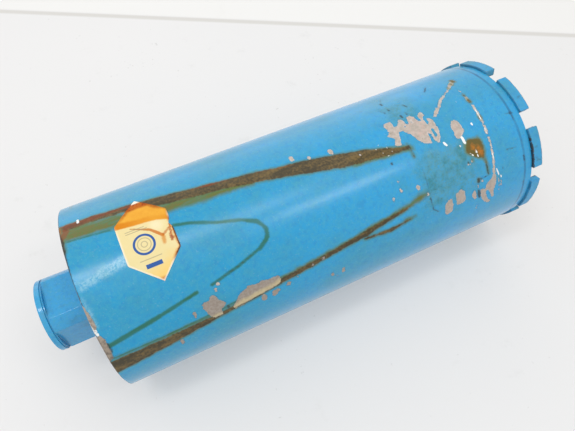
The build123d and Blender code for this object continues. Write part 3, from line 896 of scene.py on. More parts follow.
@dataclass(frozen=True)
class GritFinish:
    """Synthetic diamond grit standing out of the segments."""

    yellow: Colour = tint(196, 190, 132)
    grey: Colour = tint(120, 122, 112)

    def material(self) -> bpy.types.Material:
        """Cloudy yellow crystals."""
        work = Paintwork("diamond_grit")
        cloud = work.noise(1.1, 1).rise(0.4, 0.6)
        colour = work.mix(cloud, self.yellow, self.grey)
        return work.finish(Base_Color=colour, Roughness=0.22 + cloud * 0.2, Coat_Weight=0.5)


@dataclass(frozen=True)
class HubFinish:
    """The coupling's fresher paint, rubbed at its corners."""

    enamel: Enamel = Enamel(tint(48, 158, 214), tint(50, 158, 208), tint(62, 150, 196), 0.3)
    # painted shade in the groove and under the collar
    nook_shade: Colour = tint(16, 84, 136)
    foot: Colour = tint(84, 96, 92)
    smear: Colour = tint(56, 104, 128)
    steel: tuple[Colour, Colour] = (tint(176, 174, 170), tint(134, 118, 104))

    def material(self) -> bpy.types.Material:
        """The coupling's painted outside."""
        work = Paintwork("hub_enamel")
        height = work.parts(work.place)[2] / MM
        colour, normal = self.enamel.coat(work, height.rise(285, 299))
        rag, fine = work.ragged(4, 4, 0.62, 2), work.ragged(0.9, offset=6)
        rub = (work.attribute("edge_wear") + rag * 1.5 + fine * 0.5).rise(1.14, 1.28)
        scrape = (work.noise(2.2, 3, offset=14, stretch=(1, 1, 4)) + fine * 0.15).rise(0.76, 0.8)
        bare = rub.at_least(scrape)
        metal = work.mix(work.noise(2, 3, offset=21).rise(0.4, 0.7), *self.steel)
        # Painted shade in the groove and under the collar's overhang
        colour = work.coats(colour, ((work.attribute("nook_shade") + rag * 0.6).rise(0.3, 1.0) * 0.12, self.nook_shade),
                            ((height + rag * 6).fall(269, 273) * 0.45, self.foot),
                            (work.noise(11, 3, offset=17).rise(0.56, 0.72) * 0.25, self.smear), (bare, metal))
        rough = work.noise(8, 2, offset=24) * 0.1 + 0.09 + bare * 0.2
        return work.finish(Base_Color=colour, Roughness=rough, Metallic=bare * 0.7,
                           Normal=work.bump(1.0 - bare, 0.1, normal))


@dataclass(frozen=True)
class ThreadFinish:
    """Machined steel inside the coupling, with brown grease and a breath of rust."""

    steel: Colour = tint(150, 146, 140)
    grease: Colour = tint(70, 58, 44)
    rust: Colour = tint(122, 80, 48)

    def material(self) -> bpy.types.Material:
        """The threaded bore and the water passage."""
        work = Paintwork("thread_steel")
        dirt = work.noise(4, 4, 0.65, 5).rise(0.42, 0.64)
        rust = work.noise(2.2, 4, offset=9).rise(0.55, 0.7)
        colour = work.coats(self.steel, (dirt * 0.85, self.grease), (rust * 0.6, self.rust))
        tool_marks = work.noise(0.5, 1, stretch=(40, 40, 1))
        return work.finish(Base_Color=colour, Roughness=0.3 + dirt * 0.3, Metallic=0.85 - dirt * 0.5,
                           Normal=work.bump(tool_marks, 0.02))


@dataclass(frozen=True)
class PlateFinish:
    """The back plate's paint, under dried slurry and water stains."""

    enamel: Enamel = Enamel(tint(56, 142, 188), tint(56, 142, 188), tint(74, 134, 152), 0.55)
    corner: Colour = tint(88, 84, 70)
    slurry: Colour = tint(176, 174, 168)
    chip: Colour = tint(150, 146, 142)
    rust: Colour = tint(126, 84, 48)

    def material(self) -> bpy.types.Material:
        """The back plate's paint."""
        work = Paintwork("plate_enamel")
        x, y, _ = work.parts(work.place)
        radius = length(x, y) / MM
        colour, normal = self.enamel.coat(work, 0.0)
        rag, fine = work.ragged(6, 5, 0.65, 3), work.ragged(0.9, offset=6)
        corner = (radius + rag * 6).rise(42, 48).at_least((radius + rag * 5).fall(21, 25))
        dried = (work.noise(16, 4, 0.6, 11) + fine * 0.12).rise(0.5, 0.64)
        chip = (work.noise(5.5, 3, offset=14) + fine * 0.08).rise(0.69, 0.71)
        rust = (work.noise(3.2, 4, offset=17) + rag * 0.2).rise(0.62, 0.74)
        colour = work.coats(colour, (corner * 0.6, self.corner), (dried * 0.7, self.slurry), (chip, self.chip),
                            (rust * 0.75, self.rust))
        turned_rings = work.noise(1.0, 1, offset=8, stretch=(1, 1, 60))
        normal = work.bump((1.0 - chip) + dried * 0.4, 0.1, work.bump(turned_rings, 0.015, normal))
        rough = 0.34 + (dried * 0.4).at_least(rust * 0.35).at_least(corner * 0.25)
        return work.finish(Base_Color=colour, Roughness=rough, Metallic=chip * 0.5, Normal=normal)


@dataclass(frozen=True)
class WeldFinish:
    """Weld metal under thin overspray, with rust, and a darker grey in the troughs of its ripples."""

    metal: tuple[Colour, Colour] = (tint(128, 124, 120), tint(112, 98, 92))
    overspray: Colour = tint(58, 136, 178)
    rust: Colour = tint(120, 76, 44)
    trough: Colour = tint(50, 50, 48)

    def material(self) -> bpy.types.Material:
        """Both weld beads."""
        work = Paintwork("weld_metal")
        fine = work.noise(0.8, 2, offset=4)
        paint = (work.noise(8, 4, 0.6) + fine * 0.15).rise(0.5, 0.62)
        rust = (work.noise(3, 4, offset=8) + fine * 0.1).rise(0.55, 0.7)
        metal = work.mix(work.noise(5, 2, offset=12).rise(0.4, 0.65), *self.metal)
        colour = work.coats(metal, (paint * 0.85, self.overspray), (rust * 0.8, self.rust),
                            (work.attribute("ripple").fall(0.1, 0.55) * 0.45, self.trough))
        return work.finish(Base_Color=colour, Roughness=0.38 + rust * 0.3,
                           Metallic=(1.0 - paint) * (1.0 - rust) * 0.75, Normal=work.bump(fine, 0.05))


@dataclass(frozen=True)
class LabelFinish:
    """Yellowed, water-stained paper with a plain print.

    Its places are (up, on): millimetres round the barrel towards the streak, and along the barrel
    towards the crown, both from the label's middle.
    """

    paper: Colour = tint(225, 208, 152)
    fresh: Colour = tint(236, 226, 192)
    honey: Colour = tint(240, 196, 98)
    orange: tuple[Colour, Colour] = (tint(220, 147, 16), tint(228, 162, 30))
    flood_edge: Colour = tint(206, 120, 8)
    tan: Colour = tint(184, 98, 18)
    brown: Colour = tint(146, 44, 12)
    pale_tip: Colour = tint(240, 236, 218)
    crease: tuple[Colour, Colour] = (tint(176, 122, 62), tint(196, 108, 24))
    smudge: Colour = tint(206, 136, 50)
    seep: Colour = tint(208, 122, 28)
    stained_tip: Colour = tint(190, 92, 24)
    dark_rim: Colour = tint(92, 50, 20)
    pale_rim: Colour = tint(238, 228, 208)
    ink: Colour = tint(0, 78, 154)
    line: Colour = tint(150, 142, 120)
    soft: float = 0.08  # how far the edge of a printed form runs, in millimetres

    def _ring(self, up: Wire, on: Wire, middle: Point, radius: float, width: float) -> Wire:
        """A printed ring, 1 on its line.

        Args:
            up: place round the barrel.
            on: place along the barrel.
            middle: the ring's middle.
            radius: its radius.
            width: its line's width.

        Returns:
            The ring's mask.
        """
        reach = length(up - middle[0], on - middle[1])
        return abs(reach - radius).fall(width * 0.5 - self.soft, width * 0.5 + self.soft)

    def _bar(self, up: Wire, on: Wire, low: Point, high: Point) -> Wire:
        """A printed bar between two corners, 1 inside."""
        side = (abs(up - (low[0] + high[0]) / 2) - (high[0] - low[0]) / 2).at_least(
            abs(on - (low[1] + high[1]) / 2) - (high[1] - low[1]) / 2)
        return side.fall(-self.soft, self.soft)

    def _streak(self, up: Wire, on: Wire, start: Point, end: Point) -> Wire:
        """Distance from the straight line between two places.

        Args:
            up: place round the barrel.
            on: place along the barrel.
            start: where the line starts.
            end: where it ends.

        Returns:
            The distance in millimetres.
        """
        run_up, run_on = end[0] - start[0], end[1] - start[1]
        square = run_up * run_up + run_on * run_on
        share = (up - start[0]) * (run_up / square) + (on - start[1]) * (run_on / square)
        share = share.at_least(0.0).at_most(1.0)
        return length(up - start[0] - share * run_up, on - start[1] - share * run_on)

    def _print(self, up: Wire, on: Wire) -> tuple[Wire, Wire]:
        """The label's plain print: three rings, a few rules and a bar.

        Args:
            up: place round the barrel.
            on: place along the barrel.

        Returns:
            The masks of the grey lines and of the blue ink.
        """
        middle = (-3.6, -2.6)
        blue = self._ring(up, on, middle, 5.0, 1.2).at_least(self._bar(up, on, (-16.0, -5.6), (-13.8, 2.6)))
        grey = self._ring(up, on, middle, 3.3, 0.5).at_least(self._ring(up, on, middle, 1.5, 0.5))
        for low in (4.2, 5.4):
            grey = grey.at_least(self._bar(up, on, (low, -9.6), (low + 0.5, 5.6 - low)))
        return grey.at_least(self._bar(up, on, (-11.7, -7.6), (-11.2, 3.6))), blue

    def _stains(self, work: Paintwork, colour: Socket) -> Socket:
        """Soak the paper with rusty water.

        Args:
            work: the material's tree.
            colour: the clean paper's colour.

        Returns:
            The stained paper's colour.
        """
        up, on, edge = work.attribute("label_up"), work.attribute("label_on"), work.attribute("label_edge")
        cloud = work.ragged(6, 4, 0.6)
        fine = work.ragged(0.9, 3, offset=5)
        low_glow = (up + cloud * 6.0 - on * 0.3).fall(-24, -11)
        level = up + on * 0.107 + (on - 7.0).at_least(0.0) * 0.35 + cloud * 1.6
        flood = level.rise(7.2, 8.2)
        tide = (level - 9.2 + on * 0.06).fall(0.6, 2.6) * flood * (on.fall(-13, 6) * 0.5 + 0.35)

        # Rusty water from the streak, over the upper tip
        soak = abs(up - 20.4 + abs(on) * 0.12 + cloud * 1.6 + fine * 0.5).fall(1.2, 3.2)
        soak = soak.at_least((edge + cloud * 1.6).fall(0.5, 2.4) * up.rise(11, 16) * 0.8)
        rusty = work.mix((fine + cloud + 0.5).rise(0.3, 0.7), self.brown, self.tan)
        colour = work.coats(colour, (low_glow * 0.8, self.honey),
                            (flood * 0.92, work.mix((cloud + 0.5).rise(0.3, 0.7), *self.orange)),
                            (tide, self.flood_edge), (soak * (on.rise(-10, -5) * 0.3 + 0.7), rusty),
                            ((up + fine * 0.8).rise(21.6, 22.6) * 0.95, self.pale_tip))

        # The crease, the smudge at its end and the trickles from the crown side
        crease = self._streak(up, on, (6.9, -6.4), (2.6, 2.4)).at_most(
            self._streak(up, on, (2.6, 2.4), (-2.6, 7.4)))
        crease = (crease - (on.rise(-7, 7) * 0.5 + 0.16) + (cloud + fine) * 0.5).fall(-0.1, 0.4)
        smudge = self._streak(up, on, (-2.8, 7.4), (-6.4, 7.0)) + cloud * 2.0 + fine * 0.8
        spill = self._streak(up, on, (-2.4, 7.6), (0.4, 12.2)) + cloud * 1.6 + fine
        trickle = self._streak(up, on, (1.4, 12.6), (-1.4, 11.8)).at_most(
            self._streak(up, on, (-2.2, 11.6), (-6.4, 10.8)))
        trickle = (trickle + cloud * 2.2 + fine * 1.4).fall(0.3, 1.3)
        colour = work.coats(colour, (crease * 0.88, work.mix(on.rise(-4, 6), *self.crease)),
                            (smudge.fall(0.2, 1.5) * 0.8, self.smudge), (spill.fall(0.2, 1.0) * 0.7, self.tan),
                            (trickle * 0.85, rusty))

        # Borders: stained on the crown side, pale on the other
        crown_side = (on + up * 0.14).rise(3, 9) * up.fall(4, 9).at_least(0.25)
        seep = (edge + cloud * 2.0 + fine * 0.8).fall(0.3, 1.9)
        rim = (edge + cloud * 0.8 + fine * 0.6).fall(0.3, 1.05)
        return work.coats(colour, (seep * crown_side * 0.85, self.seep),
                          ((up + cloud * 2.0).fall(-23.4, -21.0) * 0.8, self.stained_tip),
                          ((rim * crown_side * (cloud * 2.0 + 0.95)).at_least(0.0), self.dark_rim),
                          (rim * (1.0 - crown_side) * up.fall(4, 12) * 0.7, self.pale_rim))

    def material(self) -> bpy.types.Material:
        """The label's paper, print and stains."""
        work = Paintwork("label_paper")
        up, on = work.attribute("label_up"), work.attribute("label_on")
        cloud = work.ragged(6, 4, 0.6)
        pale = length(up - 4.0, on - 6.0) + cloud * 6.0
        faded = (cloud + 0.3).rise(0.2, 0.8) * 0.4 + pale.fall(1.0, 5.0) * 0.5
        grey, blue = self._print(up, on)
        colour = self._stains(work, work.mix(faded, self.paper, self.fresh))
        colour = work.coats(colour, (grey * 0.6, self.line), (blue * 0.96, self.ink))
        normal = work.bump(cloud + 0.5, 0.15, work.bump(work.noise(0.5, 2, offset=12), 0.02))
        return work.finish(Base_Color=colour, Roughness=0.5 + cloud * 0.2, Normal=normal, IOR=1.24)


# ---------------------------------------------------------------------------------------------
# Meshes


def grid_mesh(name: str, points: np.ndarray, close_rows: bool, close_columns: bool) -> bpy.types.Mesh:
    """A mesh of quads over rows and columns of points.

    Args:
        name: the mesh's name.
        points: rows by columns by three coordinates, in millimetres.
        close_rows: whether the last row joins the first.
        close_columns: whether the last column joins the first.

    Returns:
        The mesh, in metres and smooth.
    """
    rows, columns = points.shape[:2]
    numbers = np.arange(rows * columns).reshape(rows, columns)
    below = numbers if close_rows else numbers[:-1]
    above = np.roll(numbers, -1, axis=0) if close_rows else numbers[1:]
    if close_columns:
        quads = (below, np.roll(below, -1, axis=1), np.roll(above, -1, axis=1), above)
    else:
        quads = (below[:, :-1], below[:, 1:], above[:, 1:], above[:, :-1])
    faces = np.stack([part.ravel() for part in quads], axis=1)
    mesh = bpy.data.meshes.new(name)
    mesh.from_pydata((points.reshape(-1, 3) * MM).tolist(), [], faces.tolist())
    mesh.shade_smooth()
    return mesh


def give_numbers(mesh: bpy.types.Mesh, name: str, values: np.ndarray) -> None:
    """Store one number per point on a mesh, for its material to read."""
    layer = mesh.attributes.new(name, "FLOAT", "POINT")
    layer.data.foreach_set("value", values.astype(np.float32).ravel())


def dress_skin(mesh: bpy.types.Mesh, finishes: Sequence[bpy.types.Material], grid: tuple[int, int], inner: int,
               sharp: float) -> None:
    """Give a closed skin one finish outside and another inside.

    Args:
        mesh: the skin, as grid_mesh made it.
        finishes: the outer and the inner material.
        grid: how many rows and columns of faces it has.
        inner: the first row of faces that lies inside.
        sharp: the angle in degrees from which an edge looks sharp.
    """
    slots = np.zeros(grid, np.int32)
    slots[inner:] = 1
    for material in finishes:
        mesh.materials.append(material)
    mesh.polygons.foreach_set("material_index", slots.ravel())
    mesh.set_sharp_from_angle(angle=radians(sharp))


def rounded_rim(radius: float, top: float, inset: float) -> list[tuple[float, float]]:
    """Radius and height of five places round a rim's corner, from its side to its top."""
    leans = [radians(22.5 * step) for step in range(5)]
    return [(radius - inset + inset * cos(lean), top - inset + inset * sin(lean)) for lean in leans]


def add_piece(name: str, mesh: bpy.types.Mesh) -> bpy.types.Object:
    """Put a mesh into the scene as a piece, at the origin."""
    piece = bpy.data.objects.new(name, mesh)
    bpy.context.scene.collection.objects.link(piece)
    return piece


def fit(piece: bpy.types.Object, slot: str, *nodes: str) -> None:
    """Fix a finished piece to the bit.

    Args:
        piece: the piece.
        slot: the record's material slot that it belongs to; not used.
        nodes: the CAD nodes that it stands for.
    """
    if nodes:
        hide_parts(*nodes)
    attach(piece, BODY)
    log.info("%s: %d faces, stands for %s", piece.name, len(piece.data.polygons), ", ".join(nodes) or "no node")


class Pattern(Board):
    """A Geometry Nodes tree with named sizes, which works in millimetres."""

    def __init__(self, name: str, **sizes: float | int) -> None:
        """Start a tree.

        Args:
            name: the tree's name.
            sizes: its named inputs and their usual values.
        """
        super().__init__(bpy.data.node_groups.new(name, "GeometryNodeTree"))
        face = self.tree.interface
        face.new_socket(name="Shape", in_out="INPUT", socket_type="NodeSocketGeometry")
        self.inputs: dict[str, str] = {}
        for label, value in sizes.items():
            kind = "NodeSocketInt" if isinstance(value, int) else "NodeSocketFloat"
            item = face.new_socket(name=label, in_out="INPUT", socket_type=kind)
            item.default_value = value
            self.inputs[label] = item.identifier
        face.new_socket(name="Shape", in_out="OUTPUT", socket_type="NodeSocketGeometry")
        self.entry = self.node("NodeGroupInput")

    def size(self, label: str) -> Wire:
        """One of the tree's named inputs."""
        return self.wire(self.entry, label)

    def here(self) -> Socket:
        """The place of each of the shape's points."""
        return self.node("GeometryNodeInputPosition").outputs[0]

    def noise(self, size: float, seed: Wire | float, place: Socket | None = None) -> Wire:
        """Cloudy noise from 0 to 1.

        Args:
            size: how wide one cloud is, in millimetres.
            seed: which noise it is.
            place: where it is read, if that isn't each point's own place.

        Returns:
            The noise's value.
        """
        sockets = {"Vector": place or self.here(), "W": seed, "Scale": 1 / size, "Detail": 2.0}
        return self.wire(self.node("ShaderNodeTexNoise", sockets, noise_dimensions="4D"), 0)

    def keep(self, shape: Socket, name: str, value: Wire) -> Socket:
        """Store a number on the shape's points under a name."""
        sockets = {"Geometry": shape, "Name": name, "Value": value}
        node = self.node("GeometryNodeStoreNamedAttribute", sockets, data_type="FLOAT", domain="POINT")
        return node.outputs[0]

    def kept(self, name: str) -> Wire:
        """A number that was stored under a name."""
        node = self.node("GeometryNodeInputNamedAttribute", {"Name": name}, data_type="FLOAT")
        return self.wire(node, "Attribute")

    def close(self, shape: Socket, material: bpy.types.Material) -> None:
        """End the tree with one plain, smooth mesh of one material, in metres."""
        whole = self.node("GeometryNodeRealizeInstances", {0: shape}).outputs[0]
        sized = self.node("GeometryNodeTransform", {"Geometry": whole, "Scale": (MM, MM, MM)}).outputs[0]
        smooth = self.node("GeometryNodeSetShadeSmooth", {"Geometry": sized}).outputs[0]
        dressed = self.node("GeometryNodeSetMaterial", {"Geometry": smooth, "Material": material}).outputs[0]
        self.node("NodeGroupOutput", {0: dressed})

    def make(self, name: str, start: bpy.types.Mesh | None = None, **sizes: float | int) -> bpy.types.Object:
        """Run the tree.

        Args:
            name: the new piece's name.
            start: the mesh that the tree starts from, in millimetres.
            sizes: values for its named inputs.

        Returns:
            The piece, as a plain mesh.
        """
        piece = add_piece(name, start or bpy.data.meshes.new(name))
        modifier = piece.modifiers.new("pattern", "NODES")
        modifier.node_group = self.tree
        for label, value in sizes.items():
            modifier[self.inputs[label]] = value
        graph = bpy.context.evaluated_depsgraph_get()
        graph.update()
        mesh = bpy.data.meshes.new_from_object(piece.evaluated_get(graph))
        piece.modifiers.clear()
        piece.data = mesh
        mesh.name = name
        return piece


# ---------------------------------------------------------------------------------------------
# Sub-assemblies


@dataclass
class Barrel:
    """The painted tube, with its turned crown band and its knocked back rim."""

    band_top: float = 12.0
    band_radius: float = 53.45
    rim_bevel: float = 0.5
    row_gap: float = 0.88
    worn_half: float = 95.0  # half of the side that carries the fine marks, in degrees
    worn_step: float = 0.95
    plain_step: float = 2.0
    knocks: tuple[tuple[float, float, float], ...] = (  # middle and reach round the rim, in degrees, and depth
        (-9, 9, 0.35), (-17.5, 3, 0.3), (-28, 10, 0.55), (24, 6, 0.2), (-64, 8, 0.3), (128, 7, 0.4))
    finish: BarrelFinish = BarrelFinish()
    bore: BoreFinish = BoreFinish()

    def _turns(self) -> np.ndarray:
        """Angles of the columns from the middle of the worn side."""
        worn = np.arange(-self.worn_half, self.worn_half, self.worn_step)
        plain = np.arange(self.worn_half, 360 - self.worn_half, self.plain_step)
        return np.concatenate((worn, plain))

    def _section(self) -> list[tuple[float, float, float]]:
        """Radius, height and run along the skin of each row, up the outside and down the bore."""
        foot, top, band = TUBE_FOOT, TUBE_TOP, self.band_radius
        outside = [(band - 0.2, foot), (band - 0.06, foot + 0.05)]
        outside += [(band, foot + rise) for rise in (0.2, 0.5, 0.9, 1.4, 2.1, 3.0, 3.9, 4.7)]
        outside += [(band, self.band_top - 0.05), (TUBE_RADIUS, self.band_top + 0.2)]
        count = round((top - self.rim_bevel - self.band_top - 0.6) / self.row_gap)
        heights = np.linspace(self.band_top + 0.5, top - self.rim_bevel - 0.15, count)
        outside += [(TUBE_RADIUS, height) for height in heights]
        outside += rounded_rim(TUBE_RADIUS, top, self.rim_bevel)
        outside += [(52.6, top), (51.9, top), (BORE_RADIUS + 0.15, top)]
        inside = [(BORE_RADIUS, top - 0.15)]
        inside += [(BORE_RADIUS, h) for h in np.linspace(top - 2.5, foot + 2.0, 14)]
        inside += [(BORE_RADIUS, foot + 0.15), (BORE_RADIUS + 0.15, foot), (52.4, foot)]
        rows = [(r, h, h - foot + max(0.0, TUBE_RADIUS - self.rim_bevel - r)) for r, h in outside]
        return rows + [(r, h, BORE_RUN) for r, h in inside]

    def _knocks(self, along: np.ndarray, around: np.ndarray) -> np.ndarray:
        """How far the back rim is knocked in at each place, in millimetres."""
        depth = np.zeros(along.shape)
        for middle, reach, deep in self.knocks:
            side = np.clip(1 - ((around - middle) / reach) ** 2, 0, 1)
            depth = np.maximum(depth, deep * side * np.clip((along - 262.6) / 1.7, 0, 1))
        return depth

    def shape(self) -> bpy.types.Object:
        """The barrel's mesh, with the distance from every kind of mark stored on its points."""
        turns = self._turns()
        section = np.array(self._section())
        along, around = np.meshgrid(section[:, 2], (turns + 180) % 360 - 180, indexing="ij")
        skin = along < BORE_RUN
        radius = section[:, :1] - np.where(skin, self._knocks(along, around), 0)
        angle = np.radians(turns + WORN_SIDE_TURN)
        height = np.broadcast_to(section[:, 1:2], along.shape)
        points = np.stack((radius * np.cos(angle), radius * np.sin(angle), height), axis=2)
        mesh = grid_mesh("barrel_skin", points, close_rows=True, close_columns=True)
        for layer, marks in MARKS.items():
            gap = np.min([mark.distance(along, around) for mark in marks], axis=0)
            give_numbers(mesh, layer.value, np.where(skin, np.clip(gap, -MARK_REACH, MARK_REACH), MARK_REACH))
        outside = int(np.count_nonzero(skin[:, 0]))
        dress_skin(mesh, (self.finish.material(), self.bore.material()), along.shape, outside - 1, 38)
        return add_piece("barrel", mesh)

    def build(self) -> None:
        """Make the barrel and fix it in the tube's place."""
        fit(self.shape(), "barrel_paint", "barrel_tube")


@dataclass
class Crown:
    """Ten diamond segments brazed to the barrel's foot, with grit on the faces that cut."""

    even_turn: float = 16.5
    drift: tuple[float, ...] = (0.4, -0.3, 0.3, -0.5, -1.2, -1.8, -1.2, 0.8, 1.0, 0.8)
    sides: tuple[float, float, float] = SEGMENT_SIZE
    rounding: float = 0.42
    grit_size: float = 0.2
    grit_density: float = 0.8  # grains on a square millimetre
    finish: SegmentFinish = SegmentFinish()
    grit: GritFinish = GritFinish()

    def _block(self, material: bpy.types.Material) -> Pattern:
        """A block with rounded edges, roughened and then bent round the axis."""
        long, thick, high = self.sides
        p = Pattern("bent_segment", length=long, thickness=thick, height=high, radius=CROWN_RADIUS,
                    rounding=self.rounding, turn=0.0, roughness=0.12, seed=1)
        cells = {"Size": (1, 1, 1), "Vertices X": 47, "Vertices Y": 11, "Vertices Z": 14}
        cube = p.node("GeometryNodeMeshCube", cells).outputs["Mesh"]
        place = p.parts(p.here())
        rounding = p.size("rounding")
        cores, offs = [], []
        for part, label in zip(place, ("length", "thickness", "height")):
            spread = (part * pi).sine() * 0.5 * p.size(label)
            half = p.size(label) * 0.5 - rounding
            core = spread.at_most(half).at_least(-half)
            cores.append(core)
            offs.append(spread - core)
        edge = (abs(offs[0]) + abs(offs[1]) + abs(offs[2])) / rounding - 1.0
        scale = (rounding + self._wear(p, place)) / length(*offs)
        along, deep, up = (core + off * scale for core, off in zip(cores, offs))
        marked = p.keep(cube, "edge_wear", edge)
        angle = p.size("turn") * (pi / 180) - along / p.size("radius")
        radius = p.size("radius") - p.size("thickness") * 0.5 + deep
        bent = p.vector(radius * angle.cosine(), radius * angle.sine(), up + p.size("height") * 0.5)
        p.close(p.node("GeometryNodeSetPosition", {"Geometry": marked, "Position": bent}).outputs[0], material)
        return p

    def _wear(self, p: Pattern, place: tuple[Wire, Wire, Wire]) -> Wire:
        """How far the segment's skin stands out from an even one, most on the cutting face."""
        sized = p.node("ShaderNodeVectorMath", {0: p.here(), 1: self.sides}, operation="MULTIPLY").outputs[0]
        broad, small = (p.noise(size, p.size("seed"), sized) for size in (2.4, 0.8))
        share = place[2].fall(-0.5, -0.3) * 1.6 + 0.5
        return ((broad - 0.56) * 1.6 + (small - 0.54) * 0.8) * p.size("roughness") * share

    def _grains(self, material: bpy.types.Material) -> Pattern:
        """Grains scattered over the lowest faces of a shape."""
        p = Pattern("scattered_grit", size=self.grit_size, density=self.grit_density, reach=1.3, seed=7)
        sized = p.node("GeometryNodeTransform", {"Geometry": p.entry.outputs["Shape"], "Scale": [1 / MM] * 3})
        height = p.parts(p.here())[2]
        density = p.size("density") * (height.fall(0.35, 0.7) * 0.85 + height.fall(0.7, 1.3) * 0.15)
        sockets = {"Mesh": sized.outputs[0], "Density": density, "Seed": p.size("seed")}
        spots = p.node("GeometryNodeDistributePointsOnFaces", sockets)
        turn = p.node("FunctionNodeRandomValue", {0: (0, 0, 0), 1: (6.28, 6.28, 6.28), "Seed": p.size("seed")},
                      data_type="FLOAT_VECTOR")
        grow = p.node("FunctionNodeRandomValue", {2: 0.55, 3: 1.25, "Seed": p.size("seed")}, data_type="FLOAT")
        grain = p.node("GeometryNodeMeshIcoSphere", {"Radius": p.size("size"), "Subdivisions": 1})
        sockets = {"Points": spots.outputs["Points"], "Instance": grain.outputs["Mesh"],
                   "Rotation": turn.outputs[0], "Scale": grow.outputs[1]}
        p.close(p.node("GeometryNodeInstanceOnPoints", sockets).outputs[0], material)
        return p

    def build(self) -> None:
        """Make the segments and their grit, and fix each in its node's place."""
        block = self._block(self.finish.material())
        corners: list[np.ndarray] = []
        faces: list[tuple[int, ...]] = []
        for number, drift in enumerate(self.drift):
            name = f"segment_{number + 1:02}"
            turn = self.even_turn + 360 / len(self.drift) * number + drift
            piece = block.make(f"crown_{name}", turn=turn, seed=number + 1)
            fit(piece, "segment_paint", name)
            base = sum(len(part) for part in corners)
            corners.append(np.array([vertex.co for vertex in piece.data.vertices]))
            faces += [tuple(index + base for index in face.vertices) for face in piece.data.polygons]
        whole = bpy.data.meshes.new("crown_faces")
        whole.from_pydata(np.concatenate(corners).tolist(), [], faces)
        fit(self._grains(self.grit.material()).make("crown_grit", whole), "segment_paint")


